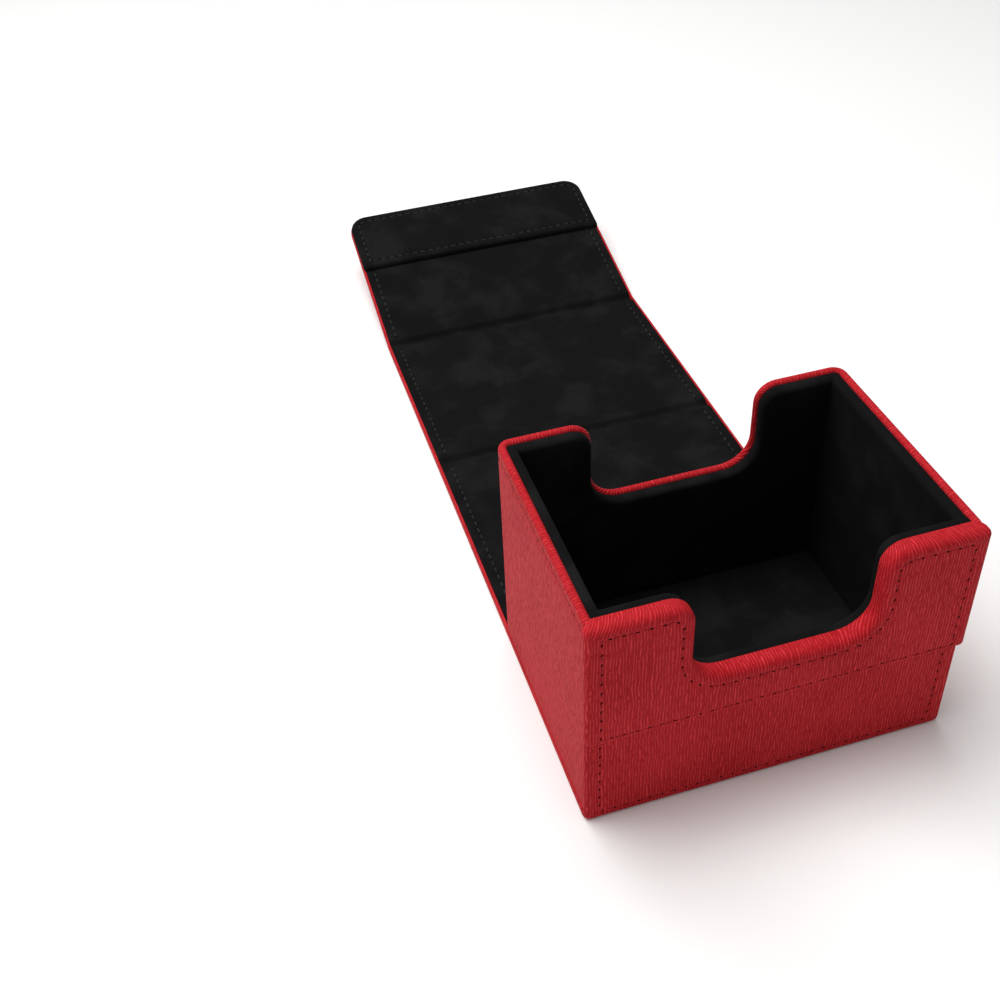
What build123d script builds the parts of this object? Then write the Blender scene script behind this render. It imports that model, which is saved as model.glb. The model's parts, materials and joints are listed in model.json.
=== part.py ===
"""Open card deck box with a wrap-round magnetic cover, laid open behind the box.

Millimetres. The origin is the middle of the box's footprint on the table, the front is towards -Y,
the cover lies towards +Y and +Z is up. A leather strip runs from the lower front panel, under the
box, to three stiff panels that close it: the back, the top and the front flap.
"""
from build123d import *
import math
import os

os.makedirs("parts", exist_ok=True)

# ---- driving dimensions -------------------------------------------------------------------------
# the card well
WELL_WIDTH = 94.4
WELL_DEPTH = 61.8
RIM_HEIGHT = 75.0

# sheet materials
LEATHER = 0.8
WALL_BOARD = 1.5
LINER = 3.1
LINER_CLOTH = 0.5
FLOOR_BOARD = 2.0
FLOOR_LINER = 1.7
BASE_BOARD = 2.0
TURNED_EDGE = 1.2          # leather folded over the rims
LINER_DROP = 0.8           # how far the liners stop below the rims
CORNER_RADIUS = 4.0        # rear corners of the box, seen from above
OUTER_ROLL = 0.9           # rounding of the outer edge of the side and rear rims
INNER_ROLL = 0.4           # rounding of the inner edge of every rim

# front of the box
STEP_DROP = 41.7           # from the rim to the underside of the raised upper front panel
APRON_THICKNESS = 1.6      # lower front panel, leather and board
PANEL_PROUD = 2.0          # how far the upper panel stands out from the lower one
PANEL_OVERHANG = 0.8       # how far the upper panel passes each side of the box
PANEL_ROLL = 1.4           # rounding of the upper panel's front edges

# thumb notches in the front and rear walls
NOTCH_HALF_WIDTH = 25.0
NOTCH_DEPTH = 27.5
NOTCH_FLOOR_RADIUS = 9.0
NOTCH_LIP_RADIUS = 6.5

# the cover strip
STRIP_OVERHANG = 0.3       # how far the strip passes each side of the box
STRIP_THICKNESS = 3.0
EDGE_LIP = 0.9             # leather turned up along the strip's sides
LINING = 0.7
LIP_DROP = 0.1             # the turned-up leather stops this far below the lining's face
FLAP_CORNER = 7.5
CREASE_HALF = 2.8          # from a fold line to the nearest stiff board
CREASE_FLAT = 1.2          # from a fold line to the foot of the lining's slope
FOLD_GAP = 0.1             # the two sides of a fold stop this far from its line
WALL_GAP = 0.4             # from the rear wall to the first fold line
FLAP_REST_TILT = 15.0      # the flap stands up by this angle when the cover lies open

# the closed cover, which sets the lengths of its panels
TOP_RISE = 9.0             # the back panel stands this far above the rims
CLOSED_RIM_GAP = 0.6       # from the rims to the lining of the top panel, at the front
FLAP_STANDOFF = 1.9        # from the raised front panel to the lining of the flap
FLAP_FOOT_GAP = 1.4        # from the table to the flap's free end

# magnet pocket on the flap
POCKET_GAP = 0.7           # from the raised panel's underside down to the closed pocket
POCKET_HEIGHT = 2.4
POCKET_CLOTH = 0.6
POCKET_EDGE = 0.3          # the pocket stops this far inside the flap's outline

# magnets
MAGNET_RADIUS = 5.0
MAGNET_THICKNESS = 1.2
MAGNET_FIT = 0.1
MAGNET_SPREAD = 30.0       # each side of the middle

# how far a cutting body reaches past what it cuts
OVERCUT = 1.0

# stitching
THREAD_WIDTH = 0.5
THREAD_DEPTH = 0.3
THREAD_PROUD = 0.1
THREAD_SUNK = 0.05         # under-side threads stay this far off the table
LEATHER_INSET = 3.5        # from a leather edge to its stitches
FRONT_SIDE_INSET = 4.2     # the same, down the sides of the two front panels
STEP_SEAM_RISE = 1.8       # from the upper panel's lower edge to its stitches
FOOT_SEAM_RISE = 2.6       # from the foot of the lower front panel to its stitches
LINING_INSET = 3.3
RIM_SEAM_DROP = 3.5

# embossed mark on the flap's outer face, a plain lozenge
MARK_REACH = 10.0
MARK_LINE = 1.8
MARK_DEPTH = 0.25
MARK_FROM_SIDE = 22.0
MARK_FROM_END = 18.0

# ---- sizes that follow --------------------------------------------------------------------------
well_x = WELL_WIDTH / 2
liner_x = well_x + LINER
board_x = liner_x + WALL_BOARD
body_x = board_x + LEATHER
strip_x = body_x + STRIP_OVERHANG
panel_x = body_x + PANEL_OVERHANG

box_depth = APRON_THICKNESS + 2 * WALL_BOARD + 2 * LINER + WELL_DEPTH + LEATHER
front_face = -box_depth / 2
rear_face = box_depth / 2
panel_face = front_face - PANEL_PROUD
front_board_y = front_face + APRON_THICKNESS
front_liner_y = front_board_y + WALL_BOARD
well_front_y = front_liner_y + LINER
well_rear_y = well_front_y + WELL_DEPTH
rear_liner_y = well_rear_y + LINER
rear_board_y = rear_liner_y + WALL_BOARD

base_top = LEATHER + BASE_BOARD
floor_top = base_top + FLOOR_BOARD
well_floor = floor_top + FLOOR_LINER
step_height = RIM_HEIGHT - STEP_DROP
notch_floor = RIM_HEIGHT - NOTCH_DEPTH
board_top = RIM_HEIGHT - TURNED_EDGE
# The wall is thinnest across the box's rear corners, round outside and square inside. The two
# roundings of the rim share what is there.
wall = WALL_BOARD + LEATHER
corner_wall = CORNER_RADIUS - math.sqrt(2) * max(CORNER_RADIUS - wall, 0.0)
outer_roll = min(OUTER_ROLL, 0.58 * corner_wall)
inner_roll = min(INNER_ROLL, 0.26 * corner_wall)
liner_top = RIM_HEIGHT - LINER_DROP

# The closed top panel leans down from the back panel's top edge to the front rim. Its length is the
# slope from there to a point just in front of the raised panel.
fold_z = STRIP_THICKNESS
base_fold = rear_face + WALL_GAP
back_length = RIM_HEIGHT + TOP_RISE - fold_z
closed_drop = TOP_RISE - CLOSED_RIM_GAP
closed_reach = base_fold - panel_face + FLAP_STANDOFF
top_length = math.hypot(closed_reach, closed_drop)
closed_lean = math.degrees(math.atan2(closed_drop, closed_reach))
flap_length = RIM_HEIGHT + CLOSED_RIM_GAP - FLAP_FOOT_GAP
pocket_start = STEP_DROP + CLOSED_RIM_GAP + POCKET_GAP
top_fold = base_fold + back_length
flap_fold = top_fold + top_length
flap_end = flap_fold + flap_length
base_fold_range = 90.0
top_fold_range = 90.0 + closed_lean
flap_fold_range = 90.0 - closed_lean - FLAP_REST_TILT

pocket_middle = (pocket_start + flap_length - POCKET_EDGE) / 2
closed_magnet_z = RIM_HEIGHT + CLOSED_RIM_GAP - pocket_middle
mark_x = strip_x - MARK_FROM_SIDE
mark_y = flap_end - MARK_FROM_END


# ---- helpers ------------------------------------------------------------------------------------
def block(x0, x1, y0, y1, z0, z1):
    """A plain box between two corners."""
    middle = ((x0 + x1) / 2, (y0 + y1) / 2, (z0 + z1) / 2)
    return Pos(*middle) * Box(x1 - x0, y1 - y0, z1 - z0)


def wall_slab(half_width, z0, z1, y0, y1):
    """A wall between y0 and y1, with no notch."""
    return block(-half_width, half_width, y0, y1, z0, z1)


def notch_cut(grow, top, y0, y1):
    """The thumb notch, made larger all round by grow, as the solid that is cut from a wall.

    Its mouth flares out to meet the wall's top edge in a round lip.
    """
    half = NOTCH_HALF_WIDTH + grow
    floor = notch_floor - grow
    foot = NOTCH_FLOOR_RADIUS + grow
    lip = NOTCH_LIP_RADIUS - grow
    sky = top + 1.0
    left_foot = CenterArc((foot - half, floor + foot), foot, 180, 90)
    right_foot = CenterArc((half - foot, floor + foot), foot, 270, 90)
    left_lip = CenterArc((-half - lip, top - lip), lip, 0, 90)
    right_lip = CenterArc((half + lip, top - lip), lip, 90, 90)
    outline = Curve() + [
        Line((-half, top - lip), (-half, floor + foot)),
        left_foot,
        Line((foot - half, floor), (half - foot, floor)),
        right_foot,
        Line((half, floor + foot), (half, top - lip)),
        right_lip,
        Polyline((half + lip, top), (half + lip, sky), (-half - lip, sky), (-half - lip, top)),
        left_lip,
    ]
    plane = Plane(origin=(0, y0, 0), x_dir=(1, 0, 0), z_dir=(0, -1, 0))
    return extrude(plane * make_face(outline.edges()), amount=-(y1 - y0))


def notched_wall(half_width, z0, y0, y1, inset=0.0, side_inset=0.0):
    """A notched wall whose top and notch edges stop the inset inside the rim's outline."""
    top = RIM_HEIGHT - inset
    wall = wall_slab(half_width - side_inset, z0, top, y0, y1)
    return wall - notch_cut(inset, top, y0 - OVERCUT, y1 + OVERCUT)


def plan_slab(half_width, rear, radius, z0, z1):
    """The box's outline seen from above, with its two rear corners rounded."""
    slab = block(-half_width, half_width, front_board_y, rear, z0, z1)
    corners = slab.edges().filter_by(Axis.Z).group_by(Axis.Y)[-1]
    return fillet(corners, radius)


def strip_outline(y0, y1, inset, z0, z1, corner=0.0):
    """A length of the strip. Its far corners are rounded where a corner radius is given."""
    far = y1 - (inset if corner else 0.0)
    slab = block(inset - strip_x, strip_x - inset, y0, far, z0, z1)
    if corner > inset:
        corners = slab.edges().filter_by(Axis.Z).group_by(Axis.Y)[-1]
        slab = fillet(corners, corner - inset)
    return slab


def flat_edges(shape, axis, places, low):
    """Edges that lie wholly at one of the places along the axis and wholly above low."""
    chosen = []
    for edge in shape.edges():
        size = edge.bounding_box()
        start, end = (size.min.X, size.max.X) if axis == "X" else (size.min.Y, size.max.Y)
        level = any(abs(start - place) < 0.01 and abs(end - place) < 0.01 for place in places)
        if level and size.min.Z > low:
            chosen.append(edge)
    return chosen


def corner_arcs(shape, low):
    """The level arcs round the box's rear corners, above low."""
    arcs = shape.edges().filter_by(GeomType.CIRCLE)
    return [a for a in arcs if a.bounding_box().size.Z < 0.01 and a.bounding_box().min.Z > low]


# ---- box: boards --------------------------------------------------------------------------------
def make_boards():
    """Five stiff boards that make the open box."""
    inside = plan_slab(board_x, rear_board_y, CORNER_RADIUS - LEATHER, base_top, board_top)
    side = block(liner_x, board_x, front_liner_y, rear_liner_y, base_top, board_top)
    rear = notched_wall(board_x, base_top, rear_liner_y, rear_board_y, TURNED_EDGE)
    front = notched_wall(board_x, base_top, front_board_y, front_liner_y, TURNED_EDGE)
    for x in (-MAGNET_SPREAD, MAGNET_SPREAD):
        front -= box_magnet(x, MAGNET_FIT)
    floor = block(-liner_x, liner_x, front_liner_y, rear_liner_y, base_top, floor_top)
    return {
        "bottom_board": floor,
        "left_wall_board": mirror(side, Plane.YZ) & inside,
        "right_wall_board": side & inside,
        "rear_wall_board": rear & inside,
        "front_wall_board": front,
    }


def box_magnet(x, grow=0.0):
    """A disc sunk in the front wall board, behind the lower front panel."""
    disc = Cylinder(MAGNET_RADIUS + grow, MAGNET_THICKNESS)
    turned = Rot(90, 0, 0) * disc
    return Pos(x, front_board_y + MAGNET_THICKNESS / 2, closed_magnet_z) * turned


# ---- box: leather -------------------------------------------------------------------------------
def rim_seam(side):
    """A straight row of stitches under a side rim."""
    z = RIM_HEIGHT - RIM_SEAM_DROP
    y0 = front_board_y + LEATHER_INSET
    y1 = rear_face - CORNER_RADIUS
    near = body_x - THREAD_DEPTH
    far = body_x + THREAD_PROUD
    low = z - THREAD_WIDTH / 2
    row = block(near, far, y0, y1, low, low + THREAD_WIDTH)
    return row if side > 0 else mirror(row, Plane.YZ)


def rear_seam():
    """A row of stitches that follows the rear notch, from corner to corner."""
    y0 = rear_face - THREAD_DEPTH
    y1 = rear_face + THREAD_PROUD
    span = body_x - CORNER_RADIUS
    half_thread = THREAD_WIDTH / 2
    low = notch_floor - LEATHER_INSET - NOTCH_LIP_RADIUS
    outer = RIM_SEAM_DROP - half_thread
    inner = RIM_SEAM_DROP + half_thread
    row = notched_wall(span, low, y0, y1, outer)
    return row - notched_wall(span, low - OVERCUT, y0 - OVERCUT, y1 + OVERCUT, inner)


def make_body_wrap(boards, seams):
    """One leather sheet round both sides and the rear, rolled over their rims."""
    outer = plan_slab(body_x, rear_face, CORNER_RADIUS, base_top, RIM_HEIGHT)
    outer -= notch_cut(0.0, RIM_HEIGHT, rear_liner_y - OVERCUT, rear_face + OVERCUT)
    ahead = front_board_y - OVERCUT
    above = RIM_HEIGHT + OVERCUT
    outer -= block(-liner_x, liner_x, ahead, rear_liner_y, 0, above)
    outer -= block(-board_x, board_x, ahead, front_liner_y, 0, above)
    low = base_top + 1
    rim = flat_edges(outer, "X", (-body_x, body_x), low)
    rim += flat_edges(outer, "Y", (rear_face,), low)
    rim += corner_arcs(outer, low)
    outer = fillet(rim, outer_roll)
    inner_rim = flat_edges(outer, "X", (-liner_x, liner_x), low)
    inner_rim += flat_edges(outer, "Y", (rear_liner_y,), low)
    outer = fillet(inner_rim, inner_roll)
    for name in ("left_wall_board", "right_wall_board", "rear_wall_board"):
        outer -= boards[name]
    for seam in seams:
        outer -= seam
    return outer


def make_front_panel(seam):
    """The raised upper front panel: a board, and leather rolled over it and the wall behind."""
    board_z = step_height + LEATHER
    board_y = panel_face + LEATHER
    board = notched_wall(panel_x, board_z, board_y, front_board_y, TURNED_EDGE, LEATHER)
    skin = notched_wall(panel_x, step_height, panel_face, front_board_y)
    skin += notched_wall(board_x, step_height, front_board_y, front_liner_y)
    skin = fillet(flat_edges(skin, "Y", (panel_face,), base_top), PANEL_ROLL)
    skin = fillet(flat_edges(skin, "Y", (front_liner_y,), step_height + 1), INNER_ROLL)
    wall_side = board_x + OVERCUT
    wall_back = front_liner_y + OVERCUT
    wall_space = notched_wall(wall_side, base_top, front_board_y, wall_back, TURNED_EDGE)
    skin = skin - board - wall_space - seam
    return {"front_panel_board": board, "front_panel_leather": skin}


def front_panel_seam():
    """Stitches that follow the whole outline of the upper front panel."""
    y0 = panel_face - THREAD_PROUD
    y1 = panel_face + THREAD_DEPTH
    half_thread = THREAD_WIDTH / 2

    def inside(grow, extra):
        """What lies inside a line that runs beside the row of stitches."""
        half_width = panel_x - FRONT_SIDE_INSET + grow
        low = step_height + STEP_SEAM_RISE - grow
        return notched_wall(half_width, low, y0 - extra, y1 + extra, LEATHER_INSET - grow)

    return inside(half_thread, 0) - inside(-half_thread, OVERCUT)


def apron_seam():
    """Stitches down both sides and along the bottom of the lower front panel."""
    y0 = front_face - THREAD_PROUD
    y1 = front_face + THREAD_DEPTH
    half_thread = THREAD_WIDTH / 2
    top = step_height - LEATHER
    side = strip_x - FRONT_SIDE_INSET
    band = wall_slab(side + half_thread, FOOT_SEAM_RISE - half_thread, top, y0, y1)
    inner_side = side - half_thread
    inner_low = FOOT_SEAM_RISE + half_thread
    return band - wall_slab(inner_side, inner_low, top + OVERCUT, y0 - OVERCUT, y1 + OVERCUT)


def make_base(seam):
    """The lower front panel and the base under the box, in one strip of leather."""
    side = strip_x - LEATHER
    back = front_face + LEATHER
    base_board = block(-side, side, back, rear_face, LEATHER, base_top)
    apron_board = block(-side, side, back, front_board_y, base_top, step_height - LEATHER)
    leather = block(-strip_x, strip_x, front_face, rear_face, 0, base_top)
    leather += block(-strip_x, strip_x, front_face, front_board_y, 0, step_height)
    foot = leather.edges().filter_by(Axis.X).group_by(Axis.Y)[0].sort_by(Axis.Z)[0]
    leather = fillet(foot, LEATHER)
    leather += block(-strip_x, strip_x, rear_face - 1, base_fold - FOLD_GAP, 0, LEATHER)
    leather = leather - base_board - apron_board - seam
    return {"base_board": base_board, "apron_board": apron_board, "base_leather": leather}


# ---- box: liners --------------------------------------------------------------------------------
def make_liners():
    """Five liner boards, each covered with soft cloth on the side that meets the cards."""
    cloth = LINER_CLOTH
    inset = LINER_DROP
    pairs = {}
    for name, y0, y1, towards in (
        ("front", front_liner_y, well_front_y, 1),
        ("rear", well_rear_y, rear_liner_y, -1),
    ):
        cover = notched_wall(liner_x, floor_top, y0, y1, inset)
        board_y0 = y0 if towards > 0 else y0 + cloth
        board_y1 = y1 - cloth if towards > 0 else y1
        board = notched_wall(liner_x, floor_top, board_y0, board_y1, inset + cloth)
        pairs[name] = (board, cover)
    side_board = block(well_x + cloth, liner_x, well_front_y, well_rear_y, floor_top, liner_top - cloth)
    side_cover = block(well_x, liner_x, well_front_y, well_rear_y, floor_top, liner_top)
    pairs["right"] = (side_board, side_cover)
    pairs["left"] = (mirror(side_board, Plane.YZ), mirror(side_cover, Plane.YZ))
    floor_board = block(-well_x, well_x, well_front_y, well_rear_y, floor_top, well_floor - cloth)
    floor_cover = block(-well_x, well_x, well_front_y, well_rear_y, floor_top, well_floor)
    pairs["floor"] = (floor_board, floor_cover)
    parts = {}
    for name, (board, cover) in pairs.items():
        parts[name + "_liner_board"] = board
        parts[name + "_liner_cloth"] = cover - board
    return parts


# ---- cover panels -------------------------------------------------------------------------------
def lining_slab(y0, y1, far_fold):
    """Lining over one panel, which dips to the leather at each fold line."""
    low = LEATHER
    high = fold_z - LINING
    points = [(y0 + FOLD_GAP, low), (y0 + FOLD_GAP, low + LINING), (y0 + CREASE_FLAT, low + LINING)]
    points.append((y0 + CREASE_HALF, fold_z))
    if far_fold:
        points.append((y1 - CREASE_HALF, fold_z))
        points.append((y1 - CREASE_FLAT, low + LINING))
        points.append((y1 - FOLD_GAP, low + LINING))
        points.append((y1 - FOLD_GAP, low))
        points.append((y1 - CREASE_FLAT - LINING, low))
        points.append((y1 - CREASE_HALF - LINING, high))
    else:
        points.append((y1, fold_z))
        points.append((y1, high))
    points.append((y0 + CREASE_HALF + LINING, high))
    points.append((y0 + CREASE_FLAT + LINING, low))
    side = strip_x - EDGE_LIP
    plane = Plane(origin=(-side, 0, 0), x_dir=(0, 1, 0), z_dir=(1, 0, 0))
    outline = Polyline(*points, close=True)
    return extrude(plane * make_face(outline.edges()), amount=2 * side)


def straight_seam(side, y0, y1, inset, z0, z1):
    """A row of stitches along one side of a panel."""
    middle = side * (strip_x - inset)
    half_thread = THREAD_WIDTH / 2
    return block(middle - half_thread, middle + half_thread, y0, y1, z0, z1)


def make_panel(name, y0, y1):
    """A flat cover panel with a fold at both ends: leather tray, board, lining and four seams."""
    lip_top = fold_z - LIP_DROP
    tray = strip_outline(y0 + FOLD_GAP, y1 - FOLD_GAP, 0, 0, lip_top)
    tray = fillet(tray.edges().filter_by(Axis.Y).group_by(Axis.Z)[0], LEATHER)
    tray -= strip_outline(y0 - OVERCUT, y1 + OVERCUT, EDGE_LIP, LEATHER, fold_z)
    board_y0 = y0 + CREASE_HALF + LINING
    board_y1 = y1 - CREASE_HALF - LINING
    board = strip_outline(board_y0, board_y1, EDGE_LIP, LEATHER, fold_z - LINING)
    lining = lining_slab(y0, y1, True)
    parts = {}
    for side, word in ((-1, "left"), (1, "right")):
        seam_inset = EDGE_LIP + LINING_INSET
        top = fold_z + THREAD_PROUD
        inner = straight_seam(side, board_y0, board_y1, seam_inset, fold_z - THREAD_DEPTH, top)
        outer = straight_seam(side, board_y0, board_y1, LEATHER_INSET, THREAD_SUNK, THREAD_DEPTH)
        groove = straight_seam(side, board_y0, board_y1, LEATHER_INSET, -OVERCUT, THREAD_DEPTH)
        lining -= inner
        tray -= groove
        parts[name + "_" + word + "_lining_seam"] = inner
        parts[name + "_" + word + "_outer_seam"] = outer
    parts[name + "_board"] = board
    parts[name + "_leather"] = tray
    parts[name + "_lining"] = lining
    return parts


def flap_band(z0, z1):
    """Stitches round the flap's two sides and its free end."""
    start = flap_fold + CREASE_HALF + LINING
    half_thread = THREAD_WIDTH / 2
    outer = LEATHER_INSET - half_thread
    inner = LEATHER_INSET + half_thread
    band = strip_outline(start, flap_end, outer, z0, z1, FLAP_CORNER)
    low, high = z0 - OVERCUT, z1 + OVERCUT
    return band - strip_outline(start - OVERCUT, flap_end, inner, low, high, FLAP_CORNER)


def pocket_slab(inset, z0, z1):
    """The magnet pocket's outline, made smaller all round by the inset."""
    start = flap_fold + pocket_start + inset
    return strip_outline(start, flap_end, POCKET_EDGE + inset, z0, z1, FLAP_CORNER)


def flap_magnet(x, top, grow=0.0):
    """A disc in the pocket board, which meets the box's magnet when the cover is closed."""
    y = flap_fold + pocket_middle
    return Pos(x, y, top - MAGNET_THICKNESS / 2) * Cylinder(MAGNET_RADIUS + grow, MAGNET_THICKNESS)


def lozenge(reach, z0, z1):
    """A square stood on one corner."""
    side = reach * math.sqrt(2)
    square = Rot(0, 0, 45) * Box(side, side, z1 - z0)
    return Pos(mark_x, mark_y, (z0 + z1) / 2) * square


def make_flap():
    """The front flap as it lies flat: leather, board, lining, magnet pocket, seams and mark."""
    start = flap_fold + FOLD_GAP
    lip_top = fold_z - LIP_DROP
    tray = strip_outline(start, flap_end, 0, 0, lip_top, FLAP_CORNER)
    under = [e for e in tray.edges() if e.bounding_box().max.Z < 0.01 and e.center().Y > start + 1]
    tray = fillet(under, LEATHER)
    tray -= strip_outline(flap_fold - OVERCUT, flap_end, EDGE_LIP, LEATHER, fold_z, FLAP_CORNER)
    mark = lozenge(MARK_REACH, -OVERCUT, MARK_DEPTH)
    mark -= lozenge(MARK_REACH - MARK_LINE, -2 * OVERCUT, OVERCUT)
    tray -= mark
    tray -= lozenge((MARK_REACH - MARK_LINE) / 2, -OVERCUT, MARK_DEPTH)
    tray -= flap_band(-OVERCUT, THREAD_DEPTH)
    board_y0 = flap_fold + CREASE_HALF + LINING
    high = fold_z - LINING
    board = strip_outline(board_y0, flap_end, EDGE_LIP, LEATHER, high, FLAP_CORNER)
    inside = strip_outline(flap_fold, flap_end, EDGE_LIP, 0, fold_z, FLAP_CORNER)
    lining = lining_slab(flap_fold, flap_end, False) & inside

    pocket_top = fold_z + POCKET_HEIGHT
    board_top_z = pocket_top - POCKET_CLOTH
    filler = pocket_slab(POCKET_CLOTH, fold_z, board_top_z)
    cloth = pocket_slab(0, fold_z, pocket_top) - filler
    half_thread = THREAD_WIDTH / 2
    seam_low = pocket_top - THREAD_DEPTH
    seam_top = pocket_top + THREAD_PROUD
    seam = pocket_slab(LINING_INSET - half_thread, seam_low, seam_top)
    seam -= pocket_slab(LINING_INSET + half_thread, seam_low - OVERCUT, seam_top + OVERCUT)
    parts = {
        "flap_leather": tray,
        "flap_board": board,
        "pocket_cloth": cloth - seam,
        "pocket_seam": seam,
        "flap_outer_seam": flap_band(THREAD_SUNK, THREAD_DEPTH),
    }
    for side, word in ((-1, "left"), (1, "right")):
        x = side * MAGNET_SPREAD
        parts["flap_" + word + "_magnet"] = flap_magnet(x, board_top_z)
        filler -= flap_magnet(x, board_top_z, MAGNET_FIT)
        seam_y1 = flap_fold + pocket_start - LINING
        row = straight_seam(
            side, board_y0, seam_y1, EDGE_LIP + LINING_INSET, fold_z - THREAD_DEPTH, fold_z + THREAD_PROUD
        )
        parts["flap_" + word + "_lining_seam"] = row
        lining -= row
    parts["pocket_board"] = filler
    parts["flap_lining"] = lining
    return parts


# ---- the whole object ---------------------------------------------------------------------------
def make_all():
    parts = make_boards()
    seams = {
        "left_rim_seam": rim_seam(-1),
        "right_rim_seam": rim_seam(1),
        "rear_rim_seam": rear_seam(),
    }
    parts["body_wrap"] = make_body_wrap(parts, seams.values())
    parts.update(seams)
    parts["front_panel_seam"] = front_panel_seam()
    parts.update(make_front_panel(parts["front_panel_seam"]))
    parts["apron_seam"] = apron_seam()
    parts.update(make_base(parts["apron_seam"]))
    parts.update(make_liners())
    parts["box_left_magnet"] = box_magnet(-MAGNET_SPREAD)
    parts["box_right_magnet"] = box_magnet(MAGNET_SPREAD)
    parts.update(make_panel("back", base_fold, top_fold))
    parts.update(make_panel("top", top_fold, flap_fold))
    fold_line = Axis((0, flap_fold, fold_z), (1, 0, 0))
    for name, shape in make_flap().items():
        parts[name] = shape.rotate(fold_line, FLAP_REST_TILT)
    return parts


def main():
    for name, shape in make_all().items():
        export_step(shape, f"parts/{name}.step")
    print("folds at y", round(base_fold, 3), round(top_fold, 3), round(flap_fold, 3), "z", fold_z)
    print("ranges", base_fold_range, round(top_fold_range, 2), round(flap_fold_range, 2))
    print("well floor", well_floor, "rear face", rear_face, "panel face", panel_face)


if __name__ == "__main__":
    main()
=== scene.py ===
"""Card deck box with a wrap-round magnetic cover: leather, linings, stitches, studio.

Every length inside the functions is in metres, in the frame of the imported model.
"""
import json
import math

import bmesh
import bpy
import numpy as np
from mathutils import Matrix, Vector


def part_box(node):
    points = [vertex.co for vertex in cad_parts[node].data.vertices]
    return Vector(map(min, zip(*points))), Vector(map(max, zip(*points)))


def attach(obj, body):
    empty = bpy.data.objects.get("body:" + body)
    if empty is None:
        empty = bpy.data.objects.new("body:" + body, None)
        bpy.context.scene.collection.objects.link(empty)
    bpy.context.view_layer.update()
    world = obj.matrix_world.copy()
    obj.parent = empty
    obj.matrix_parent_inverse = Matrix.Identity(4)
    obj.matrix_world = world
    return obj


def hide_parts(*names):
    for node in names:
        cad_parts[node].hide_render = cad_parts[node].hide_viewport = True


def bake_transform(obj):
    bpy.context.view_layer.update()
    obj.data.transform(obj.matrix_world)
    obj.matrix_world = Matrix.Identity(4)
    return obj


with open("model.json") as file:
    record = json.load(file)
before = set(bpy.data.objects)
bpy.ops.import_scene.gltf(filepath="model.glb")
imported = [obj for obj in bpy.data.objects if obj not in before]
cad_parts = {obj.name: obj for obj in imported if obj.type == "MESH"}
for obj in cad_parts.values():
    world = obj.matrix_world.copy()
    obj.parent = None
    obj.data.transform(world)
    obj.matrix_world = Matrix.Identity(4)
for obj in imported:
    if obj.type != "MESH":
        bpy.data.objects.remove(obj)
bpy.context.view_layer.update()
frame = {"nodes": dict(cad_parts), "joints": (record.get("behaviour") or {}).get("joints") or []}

bl_info = {
    "name": "Card Deck Box",
    "version": (1, 0, 0),
    "blender": (4, 5, 0),
    "location": "View3D > Sidebar > Card Box",
    "description": "Builds the leather, linings and stitches of an open card deck box",
    "category": "Add Mesh",
}

MM = 0.001


def low(node, axis):
    """The lowest place of a CAD node on an axis, 0 to 2."""
    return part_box(node)[0][axis]


def high(node, axis):
    """The highest place of a CAD node on an axis, 0 to 2."""
    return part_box(node)[1][axis]


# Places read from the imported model.
PANEL_X = high("front_panel_leather", 0)
PANEL_FACE = low("front_panel_leather", 1)
STEP = low("front_panel_leather", 2)
RIM = high("front_panel_leather", 2)
FRONT_LINER_Y = high("front_panel_leather", 1)
FRONT_BOARD_Y = low("body_wrap", 1)
STRIP_X = high("base_leather", 0)
FRONT_FACE = low("base_leather", 1)
BASE_TOP = low("body_wrap", 2)
BODY_X = high("body_wrap", 0)
REAR_FACE = high("body_wrap", 1)
BOARD_X = high("right_wall_board", 0)
LINER_X = low("right_wall_board", 0)
BOARD_TOP = high("right_wall_board", 2)
LINER_TOP = high("front_liner_cloth", 2)
LINER_FOOT = low("front_liner_cloth", 2)
WELL_FRONT = high("front_liner_cloth", 1)
WELL_REAR = low("rear_liner_cloth", 1)
WELL_X = low("right_liner_cloth", 0)
WELL_FLOOR = high("floor_liner_cloth", 2)
FOLDS = {joint["name"]: joint["pos_m"] for joint in frame["joints"]}
BASE_FOLD = FOLDS["base_fold"][1]
TOP_FOLD = FOLDS["top_fold"][1]
FLAP_FOLD = FOLDS["flap_fold"][1]
FOLD_Z = FOLDS["base_fold"][2]
REST_TILT = math.radians(15.0)
FLAP_LENGTH = 74.2 * MM
POCKET_START = 43.0 * MM
SIDES = (("left", -1), ("right", 1))

# Where the cover bends over each fold, and the bodies on either side of each fold.
HINGE = 3.5 * MM
BASE_HINGE = (BASE_FOLD - 1.0 * MM, BASE_FOLD + 4.0 * MM)
TOP_HINGE = (TOP_FOLD - HINGE, TOP_FOLD + HINGE)
FLAP_HINGE = (FLAP_FOLD - HINGE, FLAP_FOLD + HINGE)
BASE_BEND = ("box", "back_panel", (0, BASE_HINGE[0], 0), (0, BASE_HINGE[1], 0))
TOP_BEND = ("back_panel", "top_panel", (0, TOP_HINGE[0], 0), (0, TOP_HINGE[1], 0))
FLAP_BEND = ("top_panel", "front_flap", (0, FLAP_HINGE[0], 0), (0, FLAP_HINGE[1], 0))
HINGE_STEP = 0.35 * MM
TUCK = 0.03 * MM


# ---- sizes and colours that a user may change ---------------------------------------------------
def length_property(name, description, default):
    """A length that a user may change."""
    return bpy.props.FloatProperty(
        name=name, description=description, default=default, unit="LENGTH")


def hex_property(name, description, default):
    """A colour, as an sRGB hex value, that a user may change."""
    return bpy.props.StringProperty(name=name, description=description, default=default)


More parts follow.
